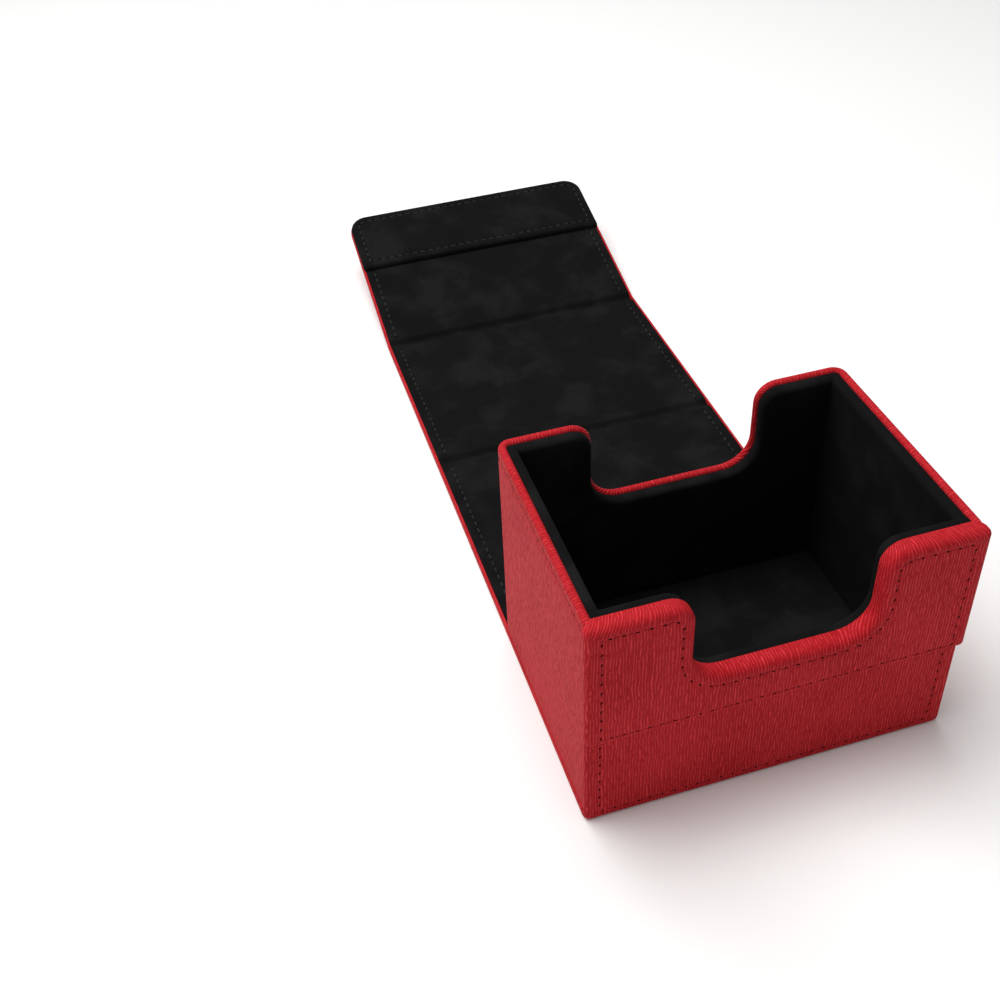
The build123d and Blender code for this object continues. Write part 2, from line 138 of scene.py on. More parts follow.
class CardBoxSizes(bpy.types.PropertyGroup):
    """Sizes of the making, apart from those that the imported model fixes."""

    notch_half: length_property(
        "Notch half width", "Half the width of each thumb notch", 25 * MM)
    notch_depth: length_property(
        "Notch depth", "From the rims down to the floor of each notch", 27.5 * MM)
    notch_foot: length_property(
        "Notch foot radius", "Rounding where a notch's side meets its floor", 9 * MM)
    notch_lip: length_property(
        "Notch lip radius", "Rounding where a notch's side meets the rim", 6.5 * MM)
    leather: length_property("Leather thickness", "Thickness of the coated leather", 0.8 * MM)
    corner: length_property(
        "Rear corner radius", "Rounding of the box's rear corners from above", 4 * MM)
    flap_corner: length_property(
        "Flap corner radius", "Rounding of the flap's two free corners", 7.5 * MM)
    pitch: length_property("Stitch pitch", "From one needle hole to the next", 3.4 * MM)
    thread: length_property("Thread width", "Width of the sewing thread", 0.5 * MM)
    groove: length_property(
        "Seam groove", "How deep a pulled seam sinks into the leather", 0.12 * MM)
    grain_width: length_property(
        "Grain width", "From one embossed line to the next", 0.85 * MM)
    grain_length: length_property(
        "Grain length", "Usual length of an embossed line", 6.5 * MM)


class CardBoxColours(bpy.types.PropertyGroup):
    """Colours as sRGB hex values."""

    # Painted highlight: the ridge red is lighter than the valley red, standing in for light caught
    # on the raised lines.
    leather_ridge_highlight: hex_property("Leather ridges", "Red of the raised lines", "D03038")
    leather_valley: hex_property("Leather valleys", "Red between the lines", "A0141B")
    red_thread: hex_property("Red thread", "Thread sewn through the leather", "BC242C")
    dark_thread: hex_property("Dark thread", "Thread sewn through the lining", "2B2B2B")
    # Painted shade: the two hole colours stand in for the shadow inside each needle hole.
    red_hole_shade: hex_property("Leather's holes", "Leather stretched by the needle", "2A0306")
    dark_hole_shade: hex_property("Lining's holes", "Nap pressed down by the needle", "0B0B0C")
    suede: hex_property("Microsuede", "Colour of the lining's nap", "111112")
    suede_brushed: hex_property(
        "Brushed microsuede", "Nap that leans the other way", "1B1B1C")
    board: hex_property("Board", "Uncoated grey board", "8A857C")
    nickel: hex_property("Nickel", "Plating of the magnets", "C9C6BE")
    paper: hex_property("Paper sweep", "White of the floor", "F4F4F3")


def sizes():
    """The scene's sizes."""
    return bpy.context.scene.card_box_sizes


def colours():
    """The scene's colours."""
    return bpy.context.scene.card_box_colours


# ---- curves and surfaces ------------------------------------------------------------------------
def even(length, step=0.5 * MM):
    """Even fractions from 0 to 1, about one for each step of the length."""
    return np.linspace(0, 1, max(2, int(round(length / step)) + 1))


def rounded_path(corners, runs, arc_steps=8):
    """Points along straight runs joined by round corners.

    corners holds x, y and radius; the first and last are the path's ends. On a run a point is
    start + fraction * (end - start). On a corner it is centre + arm turned by an angle that grows
    evenly from 0 to the corner's whole turn. Every path with the same runs and arc_steps has the
    same number of points, so that points of two such paths match one to one.
    """
    corners = np.asarray(corners, float)
    spots = corners[:, :2]
    way = np.diff(spots, axis=0)
    way = way / np.linalg.norm(way, axis=1)[:, None]
    points = []
    start = spots[0]
    for i, fractions in enumerate(runs):
        last = i == len(runs) - 1
        cut = radius = turn = 0.0
        if not last:
            ahead = way[i + 1]
            turn = math.atan2(way[i][0] * ahead[1] - way[i][1] * ahead[0], way[i] @ ahead)
            radius = max(corners[i + 1, 2], 0.01 * MM)
            cut = radius * abs(math.tan(turn / 2))
        end = spots[i + 1] - way[i] * cut
        points.append(start + (end - start) * np.asarray(fractions)[:, None])
        if not last:
            side = np.array([-way[i][1], way[i][0]]) * math.copysign(1, turn)
            angle = turn * np.linspace(0, 1, arc_steps + 1)[1:-1, None]
            arm = -side * radius
            turned = np.hstack([
                arm[0] * np.cos(angle) - arm[1] * np.sin(angle),
                arm[0] * np.sin(angle) + arm[1] * np.cos(angle),
            ])
            points.append(end + side * radius + turned)
            start = spots[i + 1] + way[i + 1] * cut
    return np.concatenate(points)


def quarter(radius, steps=6):
    """(inset, depth) of a quarter round, from (radius, 0) to (0, radius) on the side."""
    angle = np.linspace(0, math.pi / 2, steps + 1)
    return np.stack([radius * (1 - np.sin(angle)), radius * (1 - np.cos(angle))], 1)


def back_quarter(radius, depth, steps=4):
    """(inset, depth) of a quarter round, from (0, depth - radius) to (radius, depth)."""
    angle = np.linspace(0, math.pi / 2, steps + 1)
    return np.stack([radius * (1 - np.cos(angle)), depth - radius * (1 - np.sin(angle))], 1)


def seam_dip(inset, groove, half=0.8 * MM):
    """(inset, depth) of the shallow dip that a pulled seam makes, from far to near the edge."""
    across = np.array([1.0, 0.6, 0.3, 0.0, -0.3, -0.6, -1.0])
    depth = groove * np.cos(across * math.pi / 2) ** 2
    return np.stack([inset + across * half, depth], 1)


def between(a, b, rows):
    """Points between two columns of points, without the ends: a + t * (b - a)."""
    t = np.linspace(0, 1, rows + 2)[1:-1]
    return a[:, None] + (b - a)[:, None] * t[None, :, None]


def flat_uv(edge):
    """Flat-sheet places of an edge's points.

    Along the edge's profile the sheet keeps its real length: uv = first point + outward * length
    so far, where outward points across the sheet from the first point to the outermost one.
    """
    spots = edge[:, :, :2]
    reach = np.linalg.norm(spots - spots[:, :1], axis=2)
    tip = np.argmax(reach[len(reach) // 2])
    outward = spots[:, tip] - spots[:, 0]
    outward = outward / np.maximum(np.linalg.norm(outward, axis=1), 1e-9)[:, None]
    steps = np.linalg.norm(np.diff(edge, axis=1), axis=2)
    length = np.concatenate([np.zeros((len(edge), 1)), np.cumsum(steps, axis=1)], 1)
    return spots[:, :1] + outward[:, None] * length[:, :, None]


def places(*axes):
    """Points from their places on each axis, spread to one common grid."""
    return np.stack(np.broadcast_arrays(*axes), -1)


def carried(outline, profile):
    """A profile of (inset, depth) carried along an outline, as (columns, profile, 3).

    Each of its points follows the outline moved in by the point's inset, at the point's depth.
    """
    edges = np.stack([outline(inset) for inset in profile[:, 0]], 1)
    return places(edges[..., 0], edges[..., 1], profile[:, 1])


def shell(upper, lower, rows=10, inner_rows=3):
    """A closed skin as a grid of rings, with its flat-sheet places.

    upper and lower are (columns, profile, 3) arrays that run from the outer face, round the edge,
    to the inner face. Each column's ring is upper, inner rows, lower turned back, outer rows.
    """
    def joined(there, back):
        return np.concatenate([
            there, between(there[:, -1], back[:, 0], inner_rows),
            back, between(back[:, -1], there[:, 0], rows)], 1)

    return joined(upper, lower[:, ::-1]), joined(flat_uv(upper), flat_uv(lower)[:, ::-1])


def dress(piece, material):
    """Gives a piece its one material."""
    piece.data.materials.clear()
    piece.data.materials.append(material)


def make_piece(name, points, material, uv=None, sharp=40.0):
    """A mesh object of closed tubes, a grid of (tubes, rings, round, 3), in one material.

    A tube's quads join each ring to the next, and one face closes each of its end rings. Doubled
    points are merged, the faces turned outwards and smoothed, and sharp edges kept.
    """
    tubes, rings, around = points.shape[:3]
    start = np.arange(0, tubes * rings * around, rings * around)[:, None, None]
    ring = np.arange(rings - 1)[:, None] * around
    here = np.arange(around)
    ahead = (here + 1) % around
    quads = np.stack([
        ring + here, ring + around + here, ring + around + ahead, ring + ahead], -1)
    caps = np.stack([here[::-1], (rings - 1) * around + here])
    faces = (start + quads.reshape(-1, 4)).reshape(-1, 4).tolist()
    faces += (start + caps).reshape(-1, around).tolist()
    mesh = bpy.data.meshes.new(name)
    mesh.from_pydata(points.reshape(-1, 3), [], faces)
    if uv is not None:
        layer = mesh.uv_layers.new(name="Grain")
        corner = np.empty(len(mesh.loops), np.int32)
        mesh.loops.foreach_get("vertex_index", corner)
        layer.data.foreach_set("uv", uv.reshape(-1, 2)[corner].astype(np.float32).ravel())
    work = bmesh.new()
    work.from_mesh(mesh)
    bmesh.ops.remove_doubles(work, verts=work.verts, dist=0.002 * MM)
    bmesh.ops.dissolve_degenerate(work, edges=work.edges, dist=0.001 * MM)
    bmesh.ops.recalc_face_normals(work, faces=work.faces)
    work.to_mesh(mesh)
    work.free()
    mesh.polygons.foreach_set("use_smooth", np.ones(len(mesh.polygons), bool))
    mesh.set_sharp_from_angle(angle=math.radians(sharp))
    piece = bpy.data.objects.new(name, mesh)
    bpy.context.scene.collection.objects.link(piece)
    dress(piece, material)
    return piece


def turned(points, angle):
    """Turns the flat flap's points about its fold line by an angle."""
    y, z = points[..., 1] - FLAP_FOLD, points[..., 2] - FOLD_Z
    return places(
        points[..., 0], FLAP_FOLD + y * np.cos(angle) - z * np.sin(angle),
        FOLD_Z + y * np.sin(angle) + z * np.cos(angle))


def tilt(points):
    """Turns the flat flap's points about its fold line by the tilt that it has at rest."""
    return turned(points, REST_TILT)


def part_tilt(points, start, end):
    """Bends points about the flap's fold line, by 0 at start to the whole rest tilt at end.

    The share turned is smoothstep, t * t * (3 - 2 t), of the way from start to end.
    """
    t = np.clip((points[..., 1] - start) / (end - start), 0, 1)
    return turned(points, REST_TILT * t * t * (3 - 2 * t))


# ---- materials ----------------------------------------------------------------------------------
# A wave texture at this scale makes one band in each unit of length.
WAVE_PERIOD = 2 * math.pi / 20


def linear(code):
    """An sRGB hex value as linear red, green, blue and alpha."""
    parts = [int(code[i:i + 2], 16) / 255 for i in (0, 2, 4)]
    return [p / 12.92 if p <= 0.04045 else ((p + 0.055) / 1.055) ** 2.4 for p in parts] + [1.0]


def add(tree, kind, sockets=None, **settings):
    """Adds one node, sets it up, and fills its sockets with values or links.

    A link comes from a socket, or from the first socket of a node that is given instead.
    """
    made = tree.nodes.new("ShaderNode" + kind)
    for name, value in settings.items():
        setattr(made, name, value)
    for name, value in (sockets or {}).items():
        if isinstance(value, bpy.types.Node):
            value = value.outputs[0]
        if isinstance(value, bpy.types.NodeSocket):
            tree.links.new(value, made.inputs[name])
        else:
            made.inputs[name].default_value = value
    return made


def finished(name, surface, *values):
    """The material of a name, made once: surface adds its nodes and gives its shader's sockets."""
    material = bpy.data.materials.get(name)
    if material is None:
        material = bpy.data.materials.new(name)
        material.use_nodes = True
        tree = material.node_tree
        tree.nodes.clear()
        shader = add(tree, "BsdfPrincipled", surface(tree, *values))
        add(tree, "OutputMaterial", {0: shader})
    return material


def darker(colour, share):
    """A linear colour with its light cut to a share."""
    return [part * share for part in colour[:3]] + [1.0]


def leather_surface(tree, marked):
    """Polyurethane-coated leather, embossed with a broken line grain.

    The lines are short uneven ridges that run along the sheet, about a millimetre apart.
    Their tops, and the high points of the fine pebble grain, are mixed toward a lighter red as a
    painted highlight and catch a soft gloss; the valleys between them stay deep red.
    Where a heated die has pressed the mark, the grain is flat and stays deep red all over.
    """
    smooth = {"interpolation_type": "SMOOTHSTEP"}
    width, length = sizes().grain_width, sizes().grain_length
    sheet = add(tree, "UVMap", uv_map="Grain")
    # Slow wander: the lines sway sideways by up to a line's width every 8 mm or so.
    sway = add(tree, "TexNoise", {
        "Vector": add(tree, "Mapping", {
            "Vector": sheet, "Scale": (1 / (2.8 * MM), 1 / (8.0 * MM), 1)}),
        "Scale": 1.0, "Detail": 2.0, "Roughness": 0.6})
    centred = add(tree, "VectorMath", {
        0: sway.outputs["Color"], 1: (0.5, 0.5, 0.5)}, operation="SUBTRACT")
    drift = add(tree, "VectorMath", {0: centred, 1: (2 * width, 0, 0)}, operation="MULTIPLY")
    bent = add(tree, "VectorMath", {0: sheet, 1: drift}, operation="ADD")
    bands = add(tree, "TexWave", {
        "Vector": add(tree, "Mapping", {"Vector": bent, "Scale": (1 / width, 1, 1)}),
        "Scale": WAVE_PERIOD, "Distortion": 0.0, "Detail": 0.0},
        wave_type="BANDS", bands_direction="X")
    lines = add(tree, "MapRange", {
        "Value": bands.outputs["Fac"], "From Min": 0.45, "From Max": 0.98}, **smooth)
    gaps = add(tree, "TexNoise", {
        "Vector": add(tree, "Mapping", {
            "Vector": bent, "Scale": (1 / (0.8 * MM), 1 / (length * 0.5), 1)}),
        "Scale": 1.0, "Detail": 1.5, "Roughness": 0.6})
    breaks = add(tree, "MapRange", {
        "Value": gaps, "From Min": 0.34, "From Max": 0.52}, **smooth)
    ridge = add(tree, "Math", {0: lines, 1: breaks}, operation="MULTIPLY")
    if marked:
        # The same lozenges as pressed_mark: r is the distance across plus the distance along.
        offset = add(tree, "VectorMath", {
            0: sheet, 1: (MARK_X, MARK_Y, 0)}, operation="SUBTRACT")
        away = add(tree, "VectorMath", {0: offset}, operation="ABSOLUTE")
        reach = add(tree, "VectorMath", {0: away, 1: (1, 1, 0)}, operation="DOT_PRODUCT")
        outer, inner, heart = [
            add(tree, "MapRange", {
                "Value": reach.outputs["Value"], "From Min": limit - 0.2 * MM,
                "From Max": limit + 0.2 * MM, "To Min": 1.0, "To Max": 0.0}, **smooth)
            for limit in (MARK_REACH, MARK_REACH - MARK_LINE, (MARK_REACH - MARK_LINE) / 2)]
        line = add(tree, "Math", {0: outer, 1: inner}, operation="SUBTRACT")
        die = add(tree, "Math", {0: line, 1: heart}, operation="ADD")
        left = add(tree, "MapRange", {
            "Value": die, "From Min": 0.0, "From Max": 1.0,
            "To Min": 1.0, "To Max": 0.08}, **smooth)
        ridge = add(tree, "Math", {0: ridge, 1: left}, operation="MULTIPLY")
    pebble = add(tree, "TexNoise", {
        "Vector": add(tree, "Mapping", {
            "Vector": sheet, "Scale": (1 / (0.5 * MM), 1 / (0.9 * MM), 1)}),
        "Scale": 1.0, "Detail": 2.0, "Roughness": 0.6})
    low_pebble = add(tree, "Math", {0: pebble, 1: 0.45}, operation="MULTIPLY")
    height = add(tree, "Math", {0: low_pebble, 1: ridge}, operation="ADD")
    patch = add(tree, "TexNoise", {
        "Vector": add(tree, "TexCoord").outputs["Object"],
        "Scale": 1 / (22 * MM), "Detail": 2.0})
    tone = add(tree, "MapRange", {
        "Value": patch, "From Min": 0.3, "From Max": 0.7, "To Min": -0.10, "To Max": 0.14})
    # Painted highlight: the fine pebble grain's high points are mixed toward the lighter red.
    pebble_highlight = add(tree, "MapRange", {
        "Value": pebble, "From Min": 0.4, "From Max": 0.7,
        "To Min": 0.0, "To Max": 0.25}, **smooth)
    tone_and_highlight = add(tree, "Math", {0: tone, 1: pebble_highlight}, operation="ADD")
    share = add(tree, "Math", {0: ridge, 1: tone_and_highlight}, operation="ADD", use_clamp=True)
    # Painted highlight: the raised lines and pebble high points take the lighter ridge red; the
    # broad patches vary the tone at random.
    colour = add(tree, "Mix", {
        "Factor": share, 6: linear(colours().leather_valley),
        7: linear(colours().leather_ridge_highlight)}, data_type="RGBA")
    return {
        "Base Color": colour.outputs[2], "IOR": 1.45, "Specular IOR Level": 0.10,
        "Roughness": add(tree, "MapRange", {"Value": ridge, "To Min": 0.70, "To Max": 0.50}),
        "Normal": add(tree, "Bump", {
            "Strength": 1.0, "Distance": 0.13 * MM, "Height": height})}


def thread_surface(tree, code):
    """Bonded polyester thread: matt, with the fine slanting lines of its twist, whose grooves are
    mixed darker as painted shade.
    """
    twist = add(tree, "TexWave", {
        "Vector": add(tree, "TexCoord").outputs["Object"],
        "Scale": 1 / (0.35 * MM) / 20, "Distortion": 1.0}, bands_direction="DIAGONAL")
    # Painted shade: the twist's low bands take a darker copy of the thread's colour.
    colour = add(tree, "Mix", {
        "Factor": twist.outputs["Fac"], 6: darker(linear(code), 0.55), 7: linear(code)},
        data_type="RGBA")
    return {
        "Base Color": colour.outputs[2], "Roughness": 0.75, "Specular IOR Level": 0.15,
        "Normal": add(tree, "Bump", {
            "Strength": 0.5, "Distance": 0.04 * MM, "Height": twist.outputs["Fac"]})}


def hole_shade_surface(tree, code):
    """A needle hole's dark disc, sunk just under the sheet's face: painted shade for the hole where
    the thread dives in, with a fine random speckle.
    """
    speck = add(tree, "TexNoise", {
        "Vector": add(tree, "TexCoord").outputs["Object"], "Scale": 1 / (0.3 * MM)})
    colour = add(tree, "Mix", {
        "Factor": speck, 6: darker(linear(code), 0.4), 7: linear(code)}, data_type="RGBA")
    return {"Base Color": colour.outputs[2], "Roughness": 0.9, "Specular IOR Level": 0.05}


def microsuede_surface(tree):
    """Polyester microsuede, brushed: a short matt nap that swallows light.

    Strokes of the hand leave broad patches where the nap leans and looks a little greyer, and
    its fibres give a very fine speckle.
    """
    place = add(tree, "TexCoord").outputs["Object"]
    strokes = add(tree, "TexNoise", {
        "Vector": place, "Scale": 1 / (17 * MM), "Detail": 3.0, "Roughness": 0.55,
        "Distortion": 0.15})
    patch = add(tree, "MapRange", {
        "Value": strokes, "From Min": 0.42, "From Max": 0.70},
        interpolation_type="SMOOTHSTEP")
    nap = add(tree, "TexNoise", {
        "Vector": place, "Scale": 1 / (0.45 * MM), "Detail": 2.0, "Roughness": 0.7})
    speckle = add(tree, "MapRange", {
        "Value": nap, "From Min": 0.35, "From Max": 0.75, "To Min": -0.25, "To Max": 0.35})
    share = add(tree, "Math", {0: patch, 1: speckle}, operation="ADD", use_clamp=True)
    colour = add(tree, "Mix", {
        "Factor": share, 6: linear(colours().suede), 7: linear(colours().suede_brushed)},
        data_type="RGBA")
    return {
        "Base Color": colour.outputs[2], "Roughness": 0.95, "Specular IOR Level": 0.04,
        "Sheen Weight": 0.005, "Sheen Roughness": 0.5,
        "Normal": add(tree, "Bump", {"Strength": 0.6, "Distance": 0.12 * MM, "Height": nap})}


def board_surface(tree):
    """Bookbinder's board of pressed waste paper: grey, matt, flecked with darker fibres."""
    fibre = add(tree, "TexNoise", {
        "Vector": add(tree, "Mapping", {
            "Vector": add(tree, "TexCoord").outputs["Object"], "Scale": (1.0, 2.6, 1.0)}),
        "Scale": 1 / (0.9 * MM), "Detail": 4.0})
    base = linear(colours().board)
    colour = add(tree, "Mix", {
        "Factor": fibre, 6: darker(base, 0.6), 7: base}, data_type="RGBA")
    return {
        "Base Color": colour.outputs[2], "Roughness": 0.9,
        "Normal": add(tree, "Bump", {"Strength": 0.4, "Distance": 0.05 * MM, "Height": fibre})}


def nickel_surface(tree):
    """Bright nickel plating on a neodymium disc, with the fine scratches of handling."""
    scratch = add(tree, "TexNoise", {
        "Vector": add(tree, "TexCoord").outputs["Object"], "Scale": 1 / (1.2 * MM),
        "Detail": 5.0})
    return {
        "Base Color": linear(colours().nickel), "Metallic": 1.0,
        "Roughness": add(tree, "MapRange", {"Value": scratch, "To Min": 0.15, "To Max": 0.35})}


def paper_surface(tree):
    """Matt white paper, evenly lit, so that nothing on the floor draws the eye."""
    return {"Base Color": linear(colours().paper), "Roughness": 0.9, "Specular IOR Level": 0.1}


def embossed_leather(marked=False):
    """The leather's material, with the flattened grain of the mark where it is pressed in."""
    name = "Embossed red PU leather"
    return finished(name + " with a pressed mark" if marked else name, leather_surface, marked)


def brushed_microsuede():
    """The linings' material."""
    return finished("Brushed black microsuede", microsuede_surface)


# ---- the notched walls --------------------------------------------------------------------------
def notched_top(inset, feet):
    """An upper edge's corners with its thumb notch, moved into the wall by the inset.

    A convex corner's radius shrinks by the inset and the notch's feet grow by it, so all such
    edges lie the inset apart. feet are the corners before and after.
    """
    size = sizes()
    half, edge = size.notch_half + inset, RIM - inset
    floor = RIM - size.notch_depth - inset
    lip, foot = size.notch_lip - inset, size.notch_foot + inset
    corners = [(-half, edge, lip), (-half, floor, foot), (half, floor, foot), (half, edge, lip)]
    return feet[0] + corners + feet[1]


def notch_runs(before, after):
    """Fractions for the runs of a notched edge: what comes before, the notch, what comes after."""
    size = sizes()
    side = even(size.notch_depth - size.notch_foot - size.notch_lip)
    floor = even(2 * (size.notch_half - size.notch_foot))
    return before + [side, floor, side] + after


def level_edge(reach, inset, before):
    """A notched edge with level ends that reach as far on both sides."""
    feet = ([(-reach, RIM - inset, 0)], [(reach, RIM - inset, 0)])
    return rounded_path(notched_top(inset, feet), notch_runs([before], [1 - before[::-1]]))


def foot_places(upper, x0, x1, inset):
    """Where each column stands on the wall's straight lower edge.

    A column stands under its own upper point, except beside the notch, where the columns of its
    upright sides are spread over the lip's width so that none crosses the opening.
    """
    half, lip = sizes().notch_half + inset, sizes().notch_lip - inset
    x = upper[:, 0]
    step = np.linalg.norm(np.diff(upper, axis=0), axis=1)
    length = np.concatenate([[0], np.cumsum(step)])
    mouth = np.abs(x) < half + lip - 0.01 * MM
    first, last = np.flatnonzero(mouth)[[0, -1]]
    deep = np.abs(x) <= half - 0.3 * MM
    deep_first, deep_last = np.flatnonzero(deep)[[0, -1]]
    keys = [0, length[first], length[deep_first], length[deep_last], length[last], length[-1]]
    places = [x0, -half - lip, x[deep_first], x[deep_last], half + lip, x1]
    spread = np.interp(length, keys, places)
    return np.where(~mouth | deep, np.clip(x, x0, x1), spread)


FRONT_TOP_CORNER = 2.0 * MM
FRONT_FOOT_CORNER = 1.6 * MM
FRONT_SIDE_SEAM = 4.2 * MM
FRONT_TOP_SEAM = 3.5 * MM
FRONT_FOOT_SEAM = 1.8 * MM
FRONT_START = 7 * MM
LEAST_ROUND = 0.25 * MM


def front_ring(inset_side, inset_top, inset_foot):
    """The raised front panel's outline but for its straight foot, moved in by the insets."""
    x, start = PANEL_X - inset_side, PANEL_X - FRONT_START
    foot, top = STEP + inset_foot, RIM - inset_top
    round_top = max(FRONT_TOP_CORNER - inset_top, LEAST_ROUND)
    round_foot = max(FRONT_FOOT_CORNER - inset_foot, LEAST_ROUND)
    before = [(-start, foot, 0), (-x, foot, round_foot), (-x, top, round_top)]
    after = [(x, top, round_top), (x, foot, round_foot), (start, foot, 0)]
    short, tall = even(6 * MM), even(RIM - STEP)
    wide = even(PANEL_X - sizes().notch_half)
    return rounded_path(
        notched_top(inset_top, (before, after)),
        notch_runs([short, tall, wide], [wide, tall, short]))


def front_panel_points():
    """The front panel's skin: profiles for its top, sides and foot, carried round its outline.

    Each profile runs from inside the seam, over the seam's dip and round the outer roll to the
    inner face. A column near the foot takes the foot's profile, one on the rim over the wall takes
    the top's, and the others the sides'.
    """
    t = sizes().leather
    groove = sizes().groove
    over_wall, over_side, over_step = (
        FRONT_LINER_Y - PANEL_FACE, FRONT_BOARD_Y - PANEL_FACE, FRONT_FACE - PANEL_FACE)

    def profile(seam, roll, reach, back, half, inside, drop):
        return np.concatenate([
            seam_dip(seam, groove, half), quarter(roll, 7), back_quarter(back, reach),
            [(max(back, drop), reach), (max(back, drop), reach - FLANGE),
             (max(back, inside), reach - FLANGE), (inside, t * 1.4), (max(inside, roll * 0.8), t)],
        ])

    over = RIM - BOARD_TOP
    top = profile(
        FRONT_TOP_SEAM, 2.3 * MM, over_wall + FLANGE, 1.0 * MM, 0.8 * MM, over, FLANGE_DROP)
    side = profile(FRONT_SIDE_SEAM, 1.7 * MM, over_side, 0.72 * MM, 0.8 * MM, t, 0)
    foot = profile(FRONT_FOOT_SEAM, 1.25 * MM, over_step, 0.4 * MM, 0.5 * MM, t, 0)
    outer = front_ring(0, 0, 0)
    x, z = outer[:, 0], outer[:, 1]
    near_top = np.clip((BOARD_X - np.abs(x)) / (1.2 * MM) + 0.5, 0, 1) * (z > STEP + 10 * MM)
    near_foot = np.clip((STEP + 2.2 * MM - z) / (2.0 * MM), 0, 1)
    columns = [front_ring(side[k, 0], top[k, 0], foot[k, 0]) for k in range(len(top))]
    depth = (near_top[:, None] * top[:, 1] + near_foot[:, None] * foot[:, 1]
             + (1 - near_top - near_foot)[:, None] * side[:, 1])
    upper = np.concatenate([np.stack(columns, 1), depth[:, :, None]], 2)
    start = PANEL_X - FRONT_START
    x_foot = foot_places(columns[0], -start, start, top[0, 0])
    rank = np.arange(len(x_foot))
    fan = np.flatnonzero(np.abs(columns[0][:, 0]) > PANEL_X - 8 * MM)
    left, right = fan[fan < len(x) / 2][-1], fan[fan > len(x) / 2][0]
    gap = 0.2 * MM
    x_foot[:left + 1] = np.interp(
        rank[:left + 1], [0, left], [-start, x_foot[left + 1] - gap])
    x_foot[right:] = np.interp(
        rank[right:], [right, rank[-1]], [x_foot[right - 1] + gap, start])
    return shell(upper, places(x_foot[:, None], STEP + foot[:, 0], foot[:, 1]), rows=14)


def on_front(local):
    """Places (across, up, depth) behind the front panel's face."""
    return places(local[..., 0], PANEL_FACE + local[..., 2], local[..., 1])


# ---- the body's wrap ----------------------------------------------------------------------------
FRONT_TURN = 1.3 * MM
TURN_DEPTH = 0.75 * MM


def wrap_lengths():
    """Half the rear's straight width, a corner's arc and a side's straight length."""
    corner = sizes().corner
    return BODY_X - corner, corner * math.pi / 2, REAR_FACE - corner - FRONT_BOARD_Y


def round_body(local):
    """Bends the flat wrap round the box.

    local holds (distance from the rear's middle, height, depth). With m the distance without its
    sign, x is min(m, half) + (corner - depth) sin(turn), and y is the corner's centre + (corner -
    depth) cos(turn) - what is left of m, where turn grows from 0 to a right angle over the arc.
    """
    half, arc, side = wrap_lengths()
    corner = sizes().corner
    across, depth = local[..., 0], local[..., 2]
    m = np.abs(across)
    near = np.clip(1 - (half + arc + side - m) / FRONT_TURN, 0, 1)
    depth = depth + TURN_DEPTH * (1 - np.sqrt(1 - near ** 2))
    turn = np.clip((m - half) / corner, 0, math.pi / 2)
    left = np.maximum(m - half - arc, 0)
    x = (np.minimum(m, half) + (corner - depth) * np.sin(turn)) * np.sign(across)
    y = REAR_FACE - corner + (corner - depth) * np.cos(turn) - left
    return places(x, y, local[..., 1])


def wrap_edge(inset):
    """The flat wrap's notched upper edge, moved down into the sheet by the inset."""
    reach = sum(wrap_lengths())
    long = reach - sizes().notch_half
    close = np.geomspace(0.02, 1.0, 8) * MM / long
    return level_edge(reach, inset, np.sort(np.concatenate([even(long), close])))


RIM_SEAM = 3.5 * MM
FLANGE = 0.1 * MM
FLANGE_DROP = 3.2 * MM


def body_wrap_points():
    """The wrap's skin: outer face, a half-round rim over the wall and back down inside it."""
    t = sizes().leather
    wall = BODY_X - LINER_X
    roll = (wall + FLANGE) * 0.5
    angle = np.linspace(0, math.pi, 15)
    rim = np.stack([roll * (1 - np.sin(angle)), roll * (1 - np.cos(angle))], 1)
    over = RIM - BOARD_TOP
    profile = np.concatenate([
        seam_dip(RIM_SEAM, sizes().groove), rim,
        [(FLANGE_DROP, wall + FLANGE), (FLANGE_DROP, wall), (over, wall), (over, t),
         (2.6 * MM, t)],
    ])
    upper = carried(wrap_edge, profile)
    reach = sum(wrap_lengths())
    feet = foot_places(upper[:, 0], -reach, reach, profile[0, 0])
    return shell(upper, places(feet[:, None], BASE_TOP, (0, t)), rows=12)


# ---- strips of leather and lining ---------------------------------------------------------------
LIP_IN = 0.85 * MM
EDGE_ROLL = 0.9 * MM
STRIP_SEAM = 3.5 * MM
LINING_SEAM = 3.3 * MM
LINING_EDGE = 0.9 * MM
LINING_THICK = 0.7 * MM
LIP_TOP = 2.85 * MM
APRON_FOOT_SEAM = 2.6 * MM


def tray_section(lip, seam, dip):
    """(inset from the side, height) of half a turned-edge strip, from its middle to its inside.

    Outer face, seam dip, quarter roll, turned-up lip with a round top, and the inside again.
    """
    t = sizes().leather
    face = [(STRIP_X - x, 0) for x in np.linspace(0, STRIP_X - seam - 2 * MM, 10)]
    side = [(0, lip - 0.45 * MM)]
    crown = back_quarter(0.4 * MM, lip, 3)
    inside = [(LIP_IN, lip - 0.02 * MM), (LIP_IN, t + 0.1 * MM), (LIP_IN + 0.1 * MM, t),
              (STRIP_X * 0.5, t)]
    return np.concatenate([face, seam_dip(seam, dip), quarter(EDGE_ROLL), side, crown, inside])


def tray_ring(half_widths, lips, seam=STRIP_SEAM, dips=None):
    """Rings of a turned-edge strip: (columns, ring, 2) of place across and height.

    The half section is mirrored, so the ring runs out to the right lip, back inside to the left
    lip, and home.
    """
    rings = []
    for half, lip, dip in zip(half_widths, lips, dips):
        section = tray_section(lip, seam, dip)
        right = np.stack([half - section[:, 0], section[:, 1]], 1)
        left = right[::-1] * (-1, 1)
        rings.append(np.concatenate([right, left[:-1]]))
    return np.stack(rings)


